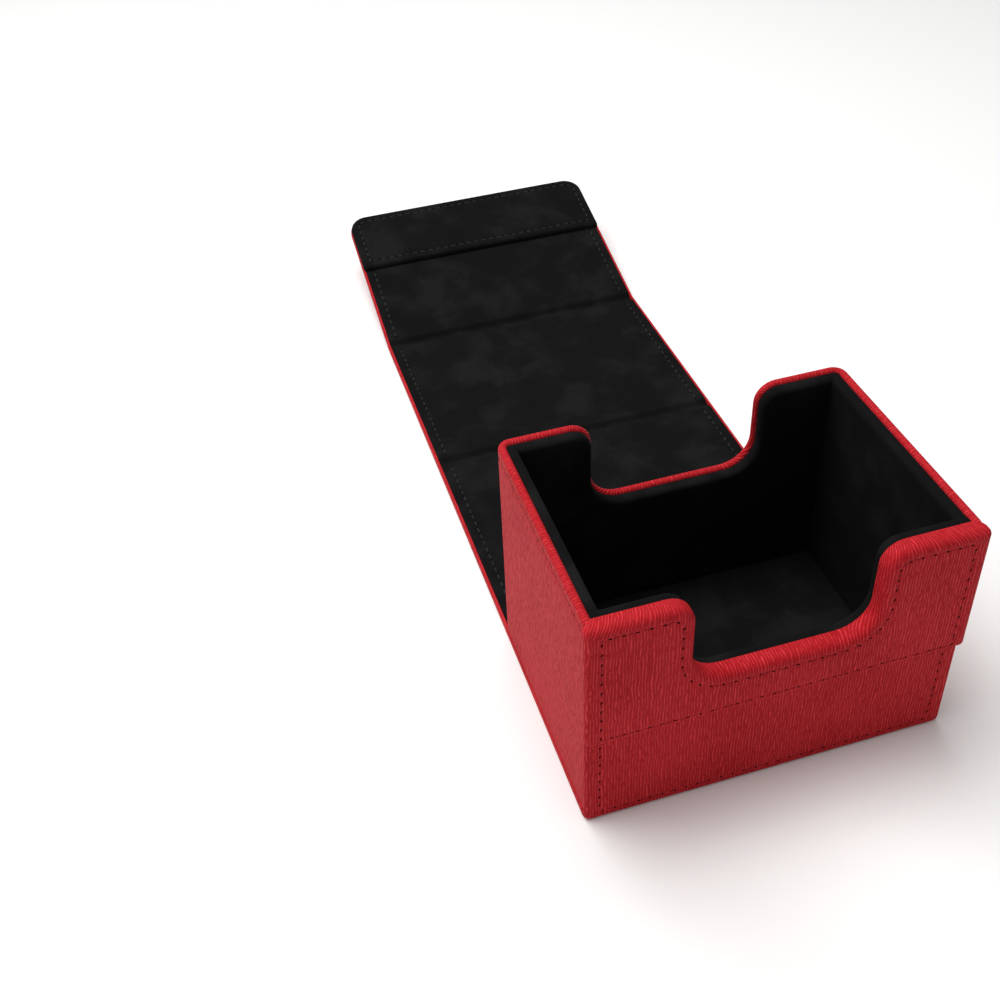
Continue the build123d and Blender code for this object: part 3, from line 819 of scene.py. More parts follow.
def ring_uv(across, height, along):
    """Flat-sheet places of strip rings: length round the section's outside, length along."""
    step = np.hypot(np.diff(across, axis=1), np.diff(height, axis=1))
    length = np.concatenate([np.zeros((len(across), 1)), np.cumsum(step, 1)], 1)
    whole = length[:, -1:] + np.abs(across[:, -1:])
    signed = np.where(length > whole / 2, length - whole, length)
    return np.stack([signed, np.broadcast_to(along[:, None], signed.shape)], -1)


def base_points():
    """Lower front panel and base: a strip that runs down the front and back under the box.

    The path goes from the step down to the table, round a small fold and back to the first hinge.
    Heights of the section point into the box, and beyond the fold's centre they stop at the fold's
    inner corner. The strip narrows to a round corner on both sides of the fold.
    """
    fold = 1.2 * MM
    run = BASE_FOLD - FRONT_FACE
    close = np.geomspace(0.3, 3.0, 8) * MM
    down = np.sort(np.concatenate([even(STEP, 1.0 * MM), 1 - close / STEP]))
    back = np.sort(np.concatenate([even(run, 2.0 * MM), close / run]))
    end = BASE_FOLD - 1.0 * MM
    path = rounded_path(
        [(FRONT_FACE, STEP, 0), (FRONT_FACE, 0, fold), (end, 0, 0)], [down, back])
    way = np.gradient(path, axis=0)
    way = way / np.linalg.norm(way, axis=1)[:, None]
    inward = np.stack([-way[:, 1], way[:, 0]], 1)
    length = np.concatenate([[0], np.cumsum(np.linalg.norm(np.diff(path, axis=0), axis=1))])
    from_fold = np.maximum(path[:, 1], path[:, 0] - FRONT_FACE)
    corner = 2.2 * MM
    short = np.clip((corner - from_fold) / corner, 0, 1)
    half = STRIP_X - corner * (1 - np.sqrt(1 - short ** 2)) * 0.9
    upright = np.clip(path[:, 1] / (4 * MM), 0, 1)
    lip = (BASE_TOP - TUCK) * (1 - upright) + (FRONT_BOARD_Y - FRONT_FACE) * upright
    dip = np.where(path[:, 1] > 3 * MM, sizes().groove, 0)
    section = tray_ring(half, lip, FRONT_SIDE_SEAM, dip)
    height = section[..., 1]
    y = path[:, None, 0] + inward[:, None, 0] * height
    z = path[:, None, 1] + inward[:, None, 1] * height
    y = np.maximum(y, FRONT_FACE + height)
    z = np.maximum(z, height)
    foot = np.exp(-((path[:, 1] - APRON_FOOT_SEAM) / (0.45 * MM)) ** 2)
    foot = foot * (path[:, 0] < FRONT_FACE + 0.5 * MM)
    row = (foot[:, None] * (height < 0.3 * MM)
           * (np.abs(section[..., 0]) < STRIP_X - FRONT_SIDE_SEAM))
    y = y + sizes().groove * row
    points = np.stack([section[..., 0], y, z], -1)
    uv = ring_uv(section[..., 0], height, -length)
    return points, uv


def strip_points(y0, y1, lip0=LIP_TOP, lip1=LIP_TOP, seam=True, step=2.0 * MM):
    """A straight length of the strip, with its outer face on the table."""
    share = even(y1 - y0, step)
    y = y0 + (y1 - y0) * share
    dips = np.full(len(y), sizes().groove if seam else 0.0)
    section = tray_ring(np.full(len(y), STRIP_X), lip0 + (lip1 - lip0) * share, dips=dips)
    across, height = section[..., 0], section[..., 1]
    return places(across, y[:, None], height), ring_uv(across, height, y)


def crease_drop(y):
    """How far the lining sinks at a fold line: deepest on the line, level 2.8 mm from it.

    drop = depth * (1 + cos(pi d / reach)) / 2 for a distance d below the reach. Between the box
    and the base fold it climbs to hide the end of the base's board, with the square root of the
    distance.
    """
    drop = np.zeros_like(y)
    climb = np.clip((y - REAR_FACE) / (BASE_FOLD - REAR_FACE), 0, 1)
    for fold in (BASE_FOLD, TOP_FOLD, FLAP_FOLD):
        d = np.minimum(np.abs(y - fold) / (2.8 * MM), 1)
        drop = np.maximum(drop, 1.45 * MM * (1 + np.cos(math.pi * d)) / 2)
    return np.where(y < BASE_FOLD, 0.25 * MM + 1.2 * MM * climb ** 0.5, drop)


def lining_section(half, seam=LINING_SEAM):
    """(across, height) ring of a lining sheet: a flat band with round edges and two seam dips."""
    soft = 0.3 * MM
    crown = 0.12 * MM
    dip = seam_dip(seam, 0.18 * MM, 0.7 * MM)
    face = np.concatenate([
        [(x, 0) for x in np.linspace(0, half - seam - 1.2 * MM, 8)],
        np.stack([half - dip[:, 0], -dip[:, 1]], 1)])
    bend = np.linspace(math.pi / 2, 0, 5)
    edge = np.stack([half - soft + soft * np.cos(bend), -soft + soft * np.sin(bend)], 1)
    under = [(half, -LINING_THICK + 0.02 * MM), (half - 0.1 * MM, -LINING_THICK),
             (half * 0.5, -LINING_THICK)]
    right = np.concatenate([face, edge - (0, crown), under])
    left = right[::-1] * (-1, 1)
    return np.concatenate([right, left[:-1]])


def lining_points(y0, y1, step=2.0 * MM):
    """A length of lining over the cover's boards, sinking at the fold lines."""
    y = (y0 + (y1 - y0) * even(y1 - y0, step))[:, None]
    ring = lining_section(STRIP_X - LINING_EDGE)
    points = places(ring[:, 0], y, FOLD_Z - crease_drop(y) + ring[:, 1])
    return points, points[..., :2].copy()


# ---- the flap -----------------------------------------------------------------------------------
def flap_edge(inset, start):
    """The flap's side, rounded far end and other side, moved in by the inset."""
    x, far = STRIP_X - inset, FLAP_FOLD + FLAP_LENGTH - inset
    radius = max(sizes().flap_corner - inset, 0.4 * MM)
    corners = [(-x, start, 0), (-x, far, radius), (x, far, radius), (x, start, 0)]
    side = even(FLAP_LENGTH, 2.2 * MM)
    return rounded_path(corners, [side, even(2 * STRIP_X, 0.8 * MM), side], arc_steps=14)


def flap_shell(profile, start, rows, inner_rows=4):
    """A flat skin of the flap's outline from the start line on, profile carried round its edge.

    On the start line the columns of the two sides are spread evenly over what the far end's
    round corners take up, and the others stand straight below their own upper points.
    """
    upper = carried(lambda inset: flap_edge(inset, start), profile)
    x = upper[:, 0, 0]
    reach = STRIP_X - profile[0, 0]
    first, last = np.flatnonzero(np.abs(x) < STRIP_X - sizes().flap_corner)[[0, -1]]
    end = len(x) - 1
    rank = np.arange(len(x))
    share = np.clip(x / reach, -1, 1)
    left = -1 + rank / first * (1 - abs(x[first]) / reach)
    right = 1 - (end - rank) / (end - last) * (1 - abs(x[last]) / reach)
    share = np.where(rank < first, left, np.where(rank > last, right, share))
    ends = profile[[0, -1]]
    lower = places(share[:, None] * (STRIP_X - ends[:, 0]), start, ends[:, 1])
    return shell(upper, lower, rows=rows, inner_rows=inner_rows)


MARK_X = STRIP_X - 22 * MM
MARK_Y = FLAP_FOLD + FLAP_LENGTH - 18 * MM
MARK_REACH = 10 * MM
MARK_LINE = 1.8 * MM
MARK_DEPTH = 0.25 * MM


def pressed_mark(points):
    """Presses a plain lozenge outline with a small solid lozenge inside it into the outer face.

    With r the sum of the distances across and along from the mark's middle, the face is pressed
    where r is between reach - line and reach, and where r is under half of reach - line.
    """
    r = np.abs(points[..., 0] - MARK_X) + np.abs(points[..., 1] - MARK_Y)
    soft = 0.5 * MM

    def inside(limit):
        return np.clip((limit - r) / soft + 0.5, 0, 1)

    shape = inside(MARK_REACH) - inside(MARK_REACH - MARK_LINE)
    shape = shape + inside(MARK_REACH / 2 - MARK_LINE / 2)
    pressed = points.copy()
    pressed[..., 2] += MARK_DEPTH * shape * (points[..., 2] < 0.3 * MM)
    return pressed


def flap_leather_points(start):
    """The flap's leather tray: outer face on the underside, turned up round three sides."""
    t = sizes().leather
    profile = np.concatenate([
        seam_dip(STRIP_SEAM, sizes().groove), quarter(EDGE_ROLL),
        [(0, LIP_TOP - 0.45 * MM)], back_quarter(0.4 * MM, LIP_TOP, 3),
        [(LIP_IN, LIP_TOP - 0.02 * MM), (LIP_IN, t + 0.1 * MM), (LIP_IN + 0.1 * MM, t)],
    ])
    points, uv = flap_shell(profile, start, rows=90)
    return pressed_mark(points), uv


def flap_lining_points(start):
    """The flap's lining: a thin sheet with a soft edge, inside the leather's turned edge."""
    base = LINING_EDGE
    profile = np.concatenate([
        seam_dip(base + LINING_SEAM, 0.18 * MM, 0.7 * MM),
        quarter(0.3 * MM) + (base, 0.1 * MM),
        [(base, LINING_THICK - 0.02 * MM), (base + 0.1 * MM, LINING_THICK)],
    ])
    points, uv = flap_shell(profile, start, rows=26)
    points[..., 2] = FOLD_Z - points[..., 2] - crease_drop(points[..., 1])
    return points, uv


POCKET_TOP = 5.4 * MM
POCKET_EDGE = 0.3 * MM
POCKET_BEGIN = 8 * MM


def pocket_edge(inset):
    """The pocket's whole outline but for its straight upper edge, moved in by the inset."""
    x, far = STRIP_X - POCKET_EDGE - inset, FLAP_FOLD + FLAP_LENGTH - POCKET_EDGE - inset
    near = FLAP_FOLD + POCKET_START + inset
    radius = max(sizes().flap_corner - POCKET_EDGE - inset, 0.4 * MM)
    tight = max(1.0 * MM - inset, 0.3 * MM)
    begin = STRIP_X - POCKET_BEGIN
    corners = [(-begin, near, 0), (-x, near, tight), (-x, far, radius), (x, far, radius),
               (x, near, tight), (begin, near, 0)]
    short, side = even(6 * MM), even(24 * MM, 0.8 * MM)
    runs = [short, side, even(2 * STRIP_X, 0.8 * MM), side, short]
    return rounded_path(corners, runs, arc_steps=12)


def pocket_points():
    """The magnet pocket: a padded band of lining with a soft roll all round it.

    On its straight near edge the columns are spread evenly up to the far corners. The face
    swells by the bell exp(-(x / (0.9 half width))^6) times 0.15 mm.
    """
    tall = POCKET_TOP - FOLD_Z
    thick = 0.6 * MM
    profile = np.concatenate([
        seam_dip(LINING_SEAM, 0.28 * MM, 1.0 * MM), quarter(1.5 * MM, 8),
        [(0, tall - 0.1 * MM), (0.12 * MM, tall), (thick, tall - 0.02 * MM),
         (thick, thick + 0.6 * MM), (1.2 * MM, thick)],
    ])
    upper = carried(pocket_edge, profile)
    begin = STRIP_X - POCKET_BEGIN
    x = upper[:, 0, 0]
    rank = np.arange(len(x))
    far = np.flatnonzero((np.abs(x) < begin - 2 * MM) & (upper[:, 0, 1] > MARK_Y))
    first, last = far[0], far[-1]
    left = np.interp(rank, [0, first], [-begin, x[first]])
    right = np.interp(rank, [last, len(x) - 1], [x[last], begin])
    place = np.where(rank > last, right, np.where(rank < first, left, x))
    near = FLAP_FOLD + POCKET_START + profile[:, 0]
    points, uv = shell(upper, places(place[:, None], near, profile[:, 1]))
    swell = 0.15 * MM * np.exp(-((points[..., 0] / (0.9 * STRIP_X)) ** 6))
    points[..., 2] = POCKET_TOP - points[..., 2] - 0.15 * MM + swell * (points[..., 2] < 0.5 * MM)
    return points, uv


# ---- liners -------------------------------------------------------------------------------------
LINER_ROLL = 1.6 * MM
LINER_CLOTH = 0.5 * MM


def liner_profile(thick, cloth):
    """(inset, depth) of a liner's padded edge: face, broad front roll, tight back roll, inside."""
    return np.concatenate([
        [(3.2 * MM, 0.0), (2.4 * MM, -0.03 * MM)], quarter(LINER_ROLL, 8),
        back_quarter(0.5 * MM, thick),
        [(cloth, thick - 0.01 * MM), (cloth - 0.02 * MM, thick - 0.3 * MM),
         (cloth - 0.02 * MM, cloth + 0.3 * MM), (cloth + 0.8 * MM, cloth)],
    ])


def notched_liner_points(half_width):
    """A front or rear liner's cloth: notched like its wall, with a padded upper edge.

    The notch is as wide as the wall's, made larger all round by the liner's drop.
    """
    drop = RIM - LINER_TOP
    side = even(half_width - sizes().notch_half)
    profile = liner_profile(WELL_FRONT - FRONT_LINER_Y, LINER_CLOTH)
    upper = carried(lambda inset: level_edge(half_width, drop + inset, side), profile)
    feet = foot_places(upper[:, 0], -half_width, half_width, drop + profile[0, 0])
    return shell(upper, places(feet[:, None], LINER_FOOT, (0, LINER_CLOTH)))


def side_liner_points():
    """A side liner's cloth as (along, up, depth): the padded edge carried straight back.

    Each end reaches as far as the roll of the liner that it meets: at a height h above the foot of
    a roll of radius r, that is r - sqrt(r^2 - h^2).
    """
    profile = liner_profile(LINER_X - WELL_X, LINER_CLOTH)
    share = even(WELL_REAR - WELL_FRONT, 1.5 * MM)[:, None]
    y = WELL_FRONT + (WELL_REAR - WELL_FRONT) * share
    above = np.clip(LINER_ROLL - profile[:, 0], 0, LINER_ROLL)
    longer = LINER_ROLL - np.sqrt(LINER_ROLL ** 2 - above ** 2)
    upper = places(y + (2 * share - 1) * longer, LINER_TOP - profile[:, 0], profile[:, 1])
    return shell(upper, places(y, LINER_FOOT, (0, LINER_CLOTH)), rows=8)


# ---- stitches -----------------------------------------------------------------------------------
# The cover's seams stop this far from a fold, and its outer seams lie this deep.
SEAM_END = 3.8 * MM
OUTER_SUNK = 0.18 * MM
HOLE_SLANT = math.radians(22)


def walk(path, up, distances):
    """Points on a path at distances along it, with the directions along, up and sideways.

    up is the outward direction for the whole path. The direction along is from 0.2 mm before
    the point to 0.2 mm after it, and the sideways one is square to both.
    """
    step = np.linalg.norm(np.diff(path, axis=0), axis=1)
    length = np.concatenate([[0], np.cumsum(step)])

    def at(distance):
        return np.stack([np.interp(distance, length, path[:, i]) for i in range(3)], -1)

    here = at(distances)
    way = at(distances + 0.2 * MM) - at(distances - 0.2 * MM)
    way = way / np.maximum(np.linalg.norm(way, axis=-1, keepdims=True), 1e-9)
    up = np.broadcast_to(np.asarray(up, float), here.shape)
    side = np.cross(way, up)
    return here, way, up, side / np.linalg.norm(side, axis=-1, keepdims=True)


def stitch_pitch(path):
    """How many stitches a seam takes, and the pitch that fills it with whole stitches."""
    length = np.linalg.norm(np.diff(path, axis=0), axis=1).sum()
    count = max(1, int(round(length / sizes().pitch)))
    return count, length / count


def tubes(centre, side, up, width, height):
    """Rings of six points round the tubes' middle lines, width times as wide as high or flatter.

    A ring's point is centre + (side * cos(angle) + up * height * sin(angle)) * width.
    """
    around = np.linspace(0, 2 * math.pi, 7)[:-1]
    ring = (side[:, :, None] * np.cos(around)[None, None, :, None]
            + up[:, :, None] * (np.sin(around) * height)[None, None, :, None])
    return centre[:, :, None] + ring * width[None, :, None, None]


def stitch_points(path, up, sunk):
    """A row of stitches, each a short capsule whose ends dive into the needle holes.

    Along a stitch t goes from -1 to 1. Its middle line is sunk + 0.3 mm * |t|^3 below the
    surface, and its half width is half the thread's times (1 - t^6)^(1/2).
    """
    count, pitch = stitch_pitch(path)
    t = np.linspace(-1, 1, 7)
    middle = (np.arange(count) + 0.5) * pitch
    here, _, up, side = walk(path, up, middle[:, None] + t[None] * pitch * 0.43)
    width = sizes().thread / 2 * np.sqrt(np.maximum(1 - t ** 6, 0.06))
    lift = -sunk - 0.30 * MM * np.abs(t) ** 3
    return tubes(here + up * lift[None, :, None], side, up, width, 0.8)


def hole_points(path, up):
    """Needle holes between the stitches: small long dimples, lens-shaped, at a slant.

    Along a hole t goes from -1 to 1, and its half width is 0.42 mm times (1 - t^2)^(1/2).
    """
    count, pitch = stitch_pitch(path)
    t = np.linspace(-1, 1, 5)
    middle = np.arange(count + 1) * pitch
    here, way, up, side = walk(path, up, np.repeat(middle[:, None], 5, 1))
    cos, sin = math.cos(HOLE_SLANT), math.sin(HOLE_SLANT)
    way, side = way * cos + side * sin, side * cos - way * sin
    width = 0.42 * MM * np.sqrt(np.maximum(1 - t ** 2, 0.05))
    # The discs sit just under the sheet's face and carry the painted shade of the holes.
    centre = here + way * (t * 0.66 * MM)[None, :, None] - up * (sizes().groove + 0.03 * MM)
    return tubes(centre, side, up, width, 0.25)


def straight(x, y0, y1, z):
    """A straight path along the cover."""
    return places(x, np.linspace(y0, y1, 60), z)


# ---- operators ----------------------------------------------------------------------------------
def skin(name, grid, material, body, nodes, bend):
    """A piece of skin that rides a body, or stays unparented where it spans a fold, and stands for
    CAD nodes.
    """
    points, uv = grid
    piece = make_piece(name, points[None], material, uv)
    if bend:
        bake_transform(piece)
    else:
        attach(piece, body)
    if nodes:
        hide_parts(*nodes)
    return piece


def leather_piece(name, grid, body=None, node=None, bend=None, marked=False):
    """A piece of leather."""
    nodes = [node] if node else []
    skin(name, grid, embossed_leather(marked), body, nodes, bend)


def cloth_piece(name, grid, body=None, nodes=(), bend=None):
    """A piece of microsuede, glued flat to its board."""
    piece = skin(name, grid, brushed_microsuede(), body, nodes, bend)


class CARDBOX_OT_front_panel(bpy.types.Operator):
    """Makes the raised, notched upper front panel"""

    bl_idname = "cardbox.front_panel"
    bl_label = "Upper Front Panel"

    def execute(self, context):
        points, uv = front_panel_points()
        leather_piece("Front_panel", (on_front(points), uv), "box", "front_panel_leather")
        return {"FINISHED"}


class CARDBOX_OT_body_wrap(bpy.types.Operator):
    """Makes the leather round the box's sides and rear"""

    bl_idname = "cardbox.body_wrap"
    bl_label = "Body Wrap"

    def execute(self, context):
        points, uv = body_wrap_points()
        leather_piece("Body_wrap", (round_body(points), uv), "box", "body_wrap")
        return {"FINISHED"}


class CARDBOX_OT_cover_leather(bpy.types.Operator):
    """Makes the base, the back and top panels and the hinges of the cover strip"""

    bl_idname = "cardbox.cover_leather"
    bl_label = "Cover Leather"

    def execute(self, context):
        leather_piece("Base_leather", base_points(), "box", "base_leather")
        base, top, flap = BASE_HINGE, TOP_HINGE, FLAP_HINGE
        points = strip_points(*base, BASE_TOP - TUCK, LIP_TOP, False, HINGE_STEP)
        leather_piece("Base_hinge_leather", points, bend=BASE_BEND)
        leather_piece("Back_leather", strip_points(base[1], top[0]), "back_panel", "back_leather")
        points = strip_points(*top, seam=False, step=HINGE_STEP)
        leather_piece("Top_hinge_leather", points, bend=TOP_BEND)
        leather_piece("Top_leather", strip_points(top[1], flap[0]), "top_panel", "top_leather")
        points, uv = strip_points(*flap, seam=False, step=HINGE_STEP)
        leather_piece("Flap_hinge_leather", (part_tilt(points, *flap), uv), bend=FLAP_BEND)
        points, uv = flap_leather_points(flap[1])
        leather_piece("Flap_leather", (tilt(points), uv), "front_flap", "flap_leather", marked=True)
        return {"FINISHED"}


class CARDBOX_OT_cover_lining(bpy.types.Operator):
    """Makes the cover's microsuede lining, panel by panel, and its hinges"""

    bl_idname = "cardbox.cover_lining"
    bl_label = "Cover Lining"

    def execute(self, context):
        base, top, flap = BASE_HINGE, TOP_HINGE, FLAP_HINGE
        cloth_piece(
            "Base_hinge_lining", lining_points(REAR_FACE + 0.02 * MM, base[1], 0.12 * MM),
            bend=BASE_BEND)
        cloth_piece(
            "Back_lining", lining_points(base[1], top[0]),
            "back_panel", ["back_lining"])
        cloth_piece(
            "Top_hinge_lining", lining_points(*top, HINGE_STEP),
            bend=TOP_BEND)
        cloth_piece(
            "Top_lining", lining_points(top[1], flap[0]),
            "top_panel", ["top_lining"])
        points, uv = lining_points(*flap, HINGE_STEP)
        cloth_piece(
            "Flap_hinge_lining", (part_tilt(points, *flap), uv),
            bend=FLAP_BEND)
        points, uv = flap_lining_points(flap[1])
        cloth_piece(
            "Flap_lining", (tilt(points), uv),
            "front_flap", ["flap_lining"])
        points, uv = pocket_points()
        cloth_piece(
            "Magnet_pocket", (tilt(points), uv),
            "front_flap", ["pocket_cloth"])
        return {"FINISHED"}


def floor_liner_points():
    """The well's floor: a flat sheet with round edges, carried straight back.

    Half its section is the flat face, a quarter round of 0.3 mm and the underside, mirrored.
    """
    y = WELL_FRONT + (WELL_REAR - WELL_FRONT) * even(WELL_REAR - WELL_FRONT, 3 * MM)
    bend = np.linspace(math.pi / 2, 0, 4)
    soft = 0.3 * MM
    right = np.concatenate([
        [(x, 0) for x in np.linspace(0, WELL_X - 1 * MM, 12)],
        np.stack([WELL_X - soft + soft * np.cos(bend), soft * np.sin(bend) - soft], 1),
        [(WELL_X, -0.5 * MM), (WELL_X * 0.5, -0.5 * MM)]])
    ring = np.concatenate([right, right[::-1][:-1] * (-1, 1)])
    points = places(ring[:, 0], y[:, None], WELL_FLOOR + ring[:, 1])
    return points, points[..., :2].copy()


class CARDBOX_OT_liners(bpy.types.Operator):
    """Makes the padded microsuede liners of the card well"""

    bl_idname = "cardbox.liners"
    bl_label = "Well Liners"

    def execute(self, context):
        local, uv = notched_liner_points(LINER_X)
        for word, y in (
            ("front", WELL_FRONT - local[..., 2]), ("rear", WELL_REAR + local[..., 2])
        ):
            cloth_piece(
                word.capitalize() + "_liner", (places(local[..., 0], y, local[..., 1]), uv),
                "box", [word + "_liner_cloth"])
        local, uv = side_liner_points()
        for word, side in SIDES:
            x = side * (WELL_X + local[..., 2])
            cloth_piece(
                word.capitalize() + "_liner", (places(x, local[..., 0], local[..., 1]), uv),
                "box",
                [word + "_liner_cloth"])
        cloth_piece(
            "Floor_liner", floor_liner_points(),
            "box", ["floor_liner_cloth"])
        return {"FINISHED"}


def sew(name, path, up, body, node, red=True, sunk=0.12 * MM):
    """One seam: its stitches, which stand for the CAD's seam, and its needle holes."""
    colour = colours()
    thread = finished(
        ("Red" if red else "Charcoal") + " polyester thread", thread_surface,
        colour.red_thread if red else colour.dark_thread)
    # Painted shade: each needle hole is a dark disc whose colour stands in for the shadow in the
    # hole.
    hole = finished(
        "Pressed " + ("leather" if red else "nap") + " at needle holes", hole_shade_surface,
        colour.red_hole_shade if red else colour.dark_hole_shade)
    stitches = make_piece(
        name + "_stitches", stitch_points(path, up, sunk), thread,
        sharp=60)
    holes = make_piece(
        name + "_needle_holes", hole_points(path, up), hole,
        sharp=60)
    for piece in (stitches, holes):
        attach(piece, body)
    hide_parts(node)


class CARDBOX_OT_stitching(bpy.types.Operator):
    """Sews every visible seam, a short stitch at a time"""

    bl_idname = "cardbox.stitching"
    bl_label = "Stitching"

    def execute(self, context):
        edge = front_ring(FRONT_SIDE_SEAM, FRONT_TOP_SEAM, FRONT_FOOT_SEAM)
        edge = np.concatenate([edge, edge[:1]])
        path = places(edge[:, 0], PANEL_FACE, edge[:, 1])
        sew("Front_panel", path, (0, -1, 0), "box", "front_panel_seam")
        side, top, foot = STRIP_X - FRONT_SIDE_SEAM, STEP - 0.6 * MM, APRON_FOOT_SEAM
        apron = rounded_path(
            [(-side, top, 0), (-side, foot, 1.0 * MM), (side, foot, 1.0 * MM), (side, top, 0)],
            [even(STEP), even(2 * side), even(STEP)])
        path = places(apron[:, 0], FRONT_FACE, apron[:, 1])
        sew("Apron", path, (0, -1, 0), "box", "apron_seam")
        rim = wrap_edge(RIM_SEAM)
        rear = rim[np.abs(rim[:, 0]) < wrap_lengths()[0]]
        sew("Rear_rim", round_body(places(rear[:, 0], rear[:, 1], 0.0)), (0, 1, 0), "box",
            "rear_rim_seam")
        up = np.array([0, -math.sin(REST_TILT), math.cos(REST_TILT)])
        for word, turn in SIDES:
            path = straight(
                turn * BODY_X, FRONT_BOARD_Y + 3.0 * MM, REAR_FACE - sizes().corner,
                RIM - RIM_SEAM)
            sew(word.capitalize() + "_rim", path, (turn, 0, 0), "box", word + "_rim_seam")
            lining_x = turn * (STRIP_X - LINING_EDGE - LINING_SEAM)
            outer_x = turn * (STRIP_X - STRIP_SEAM)
            for name, y0, y1 in (("back", BASE_FOLD, TOP_FOLD), ("top", TOP_FOLD, FLAP_FOLD)):
                start, end = y0 + SEAM_END, y1 - SEAM_END
                body, node = name + "_panel", name + "_" + word
                label = name.capitalize() + "_" + word
                sew(label + "_lining", straight(lining_x, start, end, FOLD_Z), (0, 0, 1), body,
                    node + "_lining_seam", red=False)
                sew(label + "_outer", straight(outer_x, start, end, 0), (0, 0, -1), body,
                    node + "_outer_seam", sunk=OUTER_SUNK)
            path = straight(
                lining_x, FLAP_FOLD + SEAM_END, FLAP_FOLD + POCKET_START - 1 * MM, FOLD_Z)
            sew("Flap_" + word + "_lining", tilt(path), up, "front_flap",
                "flap_" + word + "_lining_seam", red=False)
        edge = flap_edge(STRIP_SEAM, FLAP_FOLD + SEAM_END)
        path = tilt(places(edge[:, 0], edge[:, 1], 0.0))
        sew("Flap_outer", path, -up, "front_flap", "flap_outer_seam", sunk=OUTER_SUNK)
        edge = pocket_edge(LINING_SEAM)
        edge = np.concatenate([edge, edge[:1]])
        path = tilt(places(edge[:, 0], edge[:, 1], POCKET_TOP - 0.1 * MM))
        sew("Pocket", path, up, "front_flap", "pocket_seam", red=False)
        return {"FINISHED"}


class CARDBOX_OT_boards(bpy.types.Operator):
    """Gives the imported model's boards and magnets their finishes"""

    bl_idname = "cardbox.boards"
    bl_label = "Boards and Magnets"

    def execute(self, context):
        board = finished("Uncoated bookbinder's greyboard", board_surface)
        nickel = finished("Nickel-plated neodymium", nickel_surface)
        for name, node in frame["nodes"].items():
            if name == "base_board":  # its rear edge shows at the fold, faced like the lining
                dress(node, brushed_microsuede())
            elif name.endswith("_board"):
                dress(node, board)
            elif name.endswith("_magnet"):
                dress(node, nickel)
        return {"FINISHED"}


class CARDBOX_OT_stage(bpy.types.Operator):
    """Lays the pale floor, hangs the soft lights and sets up the camera"""

    bl_idname = "cardbox.stage"
    bl_label = "Stage"

    def execute(self, context):
        floor_stage()
        studio_lights()
        set_up_camera()
        context.scene.view_settings.view_transform = "Standard"
        return {"FINISHED"}


# The floor lies just below the box and curves up from this far behind its middle.
FLOOR_GAP = 0.05 * MM
SWEEP_START = 2


def floor_stage():
    """A wide white sweep that curves up far behind the object: height = rise^2 / 4 past a line."""
    x, y = np.linspace(-4, 4, 5)[:, None], np.linspace(-4, 6, 41)
    height = np.where(y > SWEEP_START, (y - SWEEP_START) ** 2 / 4, 0) - FLOOR_GAP
    first = (np.arange(4)[:, None] * 41 + np.arange(40)).reshape(-1)
    faces = np.stack([first, first + 41, first + 42, first + 1], 1)
    mesh = bpy.data.meshes.new("Studio_floor")
    mesh.from_pydata(places(x, y, height).reshape(-1, 3), [], faces.tolist())
    mesh.polygons.foreach_set("use_smooth", np.ones(len(mesh.polygons), bool))
    floor = bpy.data.objects.new("Studio_floor", mesh)
    bpy.context.scene.collection.objects.link(floor)
    dress(floor, finished("Matt white paper sweep", paper_surface))


def area_light(name, place, aim, width, height, power):
    """A rectangular soft box that looks from its place to its aim."""
    data = bpy.data.lights.new(name, "AREA")
    data.shape = "RECTANGLE"
    data.size, data.size_y, data.energy = width, height, power
    light = bpy.data.objects.new(name, data)
    light.rotation_mode = "QUATERNION"
    light.rotation_quaternion = (Vector(aim) - Vector(place)).to_track_quat("-Z", "Y")
    light.location = place
    bpy.context.scene.collection.objects.link(light)


def studio_lights():
    """A large overhead soft box, a weaker one low at the left, and a bright even room."""
    area_light("Overhead_softbox", (-0.25, 0.25, 1.0), (0, 0.05, 0), 0.8, 0.8, 12.5)
    area_light("Front_left_softbox", (-1.1, -0.2, 0.45), (0, 0, 0.03), 0.7, 0.6, 0.6)
    world = bpy.data.worlds.new("Studio_room")
    bpy.context.scene.world = world
    world.use_nodes = True
    tree = world.node_tree
    tree.nodes.clear()
    sky = add(tree, "Background", {"Color": (1, 1, 1, 1), "Strength": 0.33})
    add(tree, "OutputWorld", {0: sky})


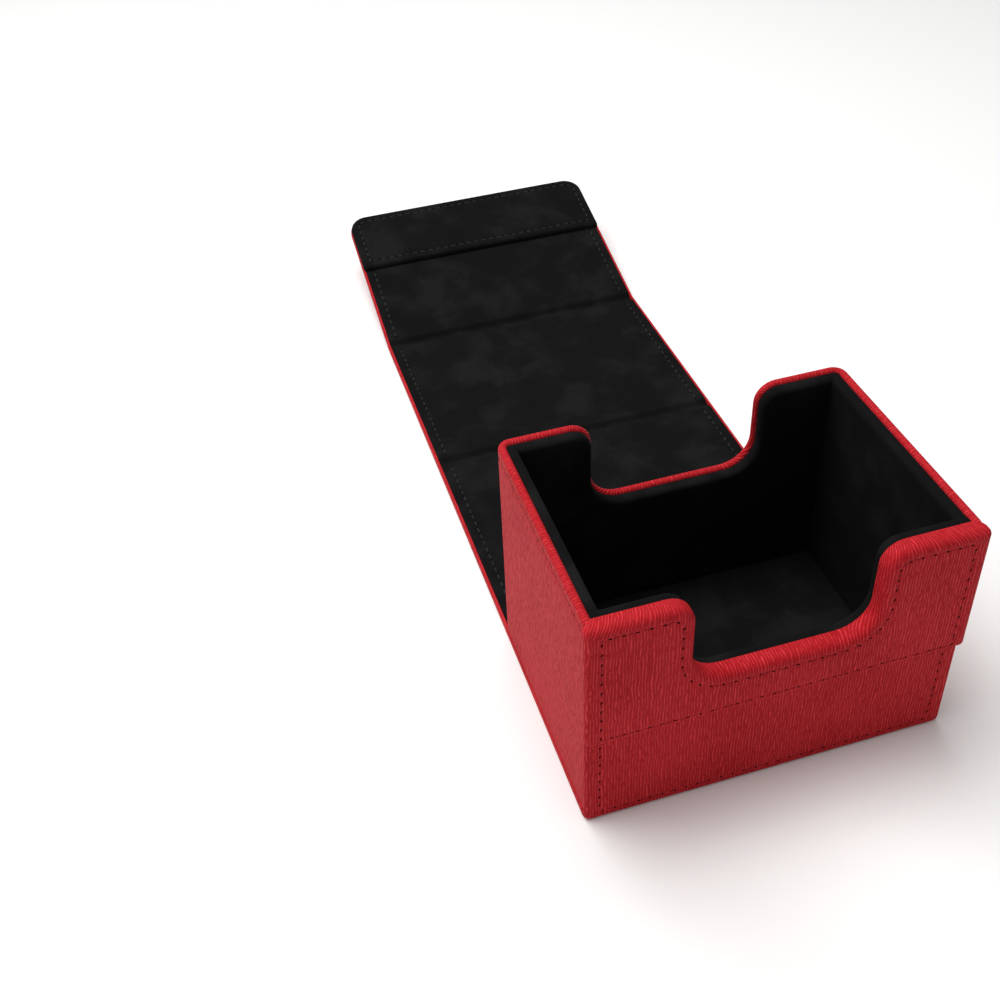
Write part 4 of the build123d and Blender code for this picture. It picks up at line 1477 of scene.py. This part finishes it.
def set_up_camera():
    """The camera, a little above the front left, with a small shift for the framing."""
    data = bpy.data.cameras.new("Camera")
    data.lens, data.sensor_width = 45.730, 36.0
    data.shift_x, data.shift_y = 0.0156, -0.0776
    data.clip_start, data.clip_end = 0.01, 20
    camera = bpy.data.objects.new("Camera", data)
    right = (0.95836, -0.28127, -0.04933)
    up = (0.21100, 0.58110, 0.78600)
    back = (-0.19241, -0.76368, 0.61625)
    place = (-121.22 * MM, -226.01 * MM, 293.95 * MM)
    turn = Matrix((right, up, back)).transposed().to_4x4()
    camera.matrix_world = Matrix.Translation(place) @ turn
    bpy.context.scene.collection.objects.link(camera)
    bpy.context.scene.camera = camera


class CARDBOX_PT_panel(bpy.types.Panel):
    """Lists the box's operators, sizes and colours"""

    bl_label = "Card Deck Box"
    bl_idname = "CARDBOX_PT_panel"
    bl_space_type = "VIEW_3D"
    bl_region_type = "UI"
    bl_category = "Card Box"

    def draw(self, context):
        layout = self.layout
        for operator in OPERATORS:
            layout.operator(operator.bl_idname)
        for group in (context.scene.card_box_sizes, context.scene.card_box_colours):
            box = layout.box()
            for name in group.__annotations__:
                box.prop(group, name)


OPERATORS = (
    CARDBOX_OT_stage,
    CARDBOX_OT_front_panel,
    CARDBOX_OT_body_wrap,
    CARDBOX_OT_cover_leather,
    CARDBOX_OT_cover_lining,
    CARDBOX_OT_liners,
    CARDBOX_OT_stitching,
    CARDBOX_OT_boards,
)
CLASSES = (CardBoxSizes, CardBoxColours, *OPERATORS, CARDBOX_PT_panel)


def register():
    """Adds the classes to Blender, and the sizes and colours to its scenes."""
    for cls in CLASSES:
        bpy.utils.register_class(cls)
    bpy.types.Scene.card_box_sizes = bpy.props.PointerProperty(type=CardBoxSizes)
    bpy.types.Scene.card_box_colours = bpy.props.PointerProperty(type=CardBoxColours)


def unregister():
    """Takes back what register added."""
    del bpy.types.Scene.card_box_colours
    del bpy.types.Scene.card_box_sizes
    for cls in reversed(CLASSES):
        bpy.utils.unregister_class(cls)


def main():
    """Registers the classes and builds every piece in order."""
    register()
    bpy.ops.cardbox.stage()
    bpy.ops.cardbox.front_panel()
    bpy.ops.cardbox.body_wrap()
    bpy.ops.cardbox.cover_leather()
    bpy.ops.cardbox.cover_lining()
    bpy.ops.cardbox.liners()
    bpy.ops.cardbox.stitching()
    bpy.ops.cardbox.boards()


if __name__ == "__main__":
    main()
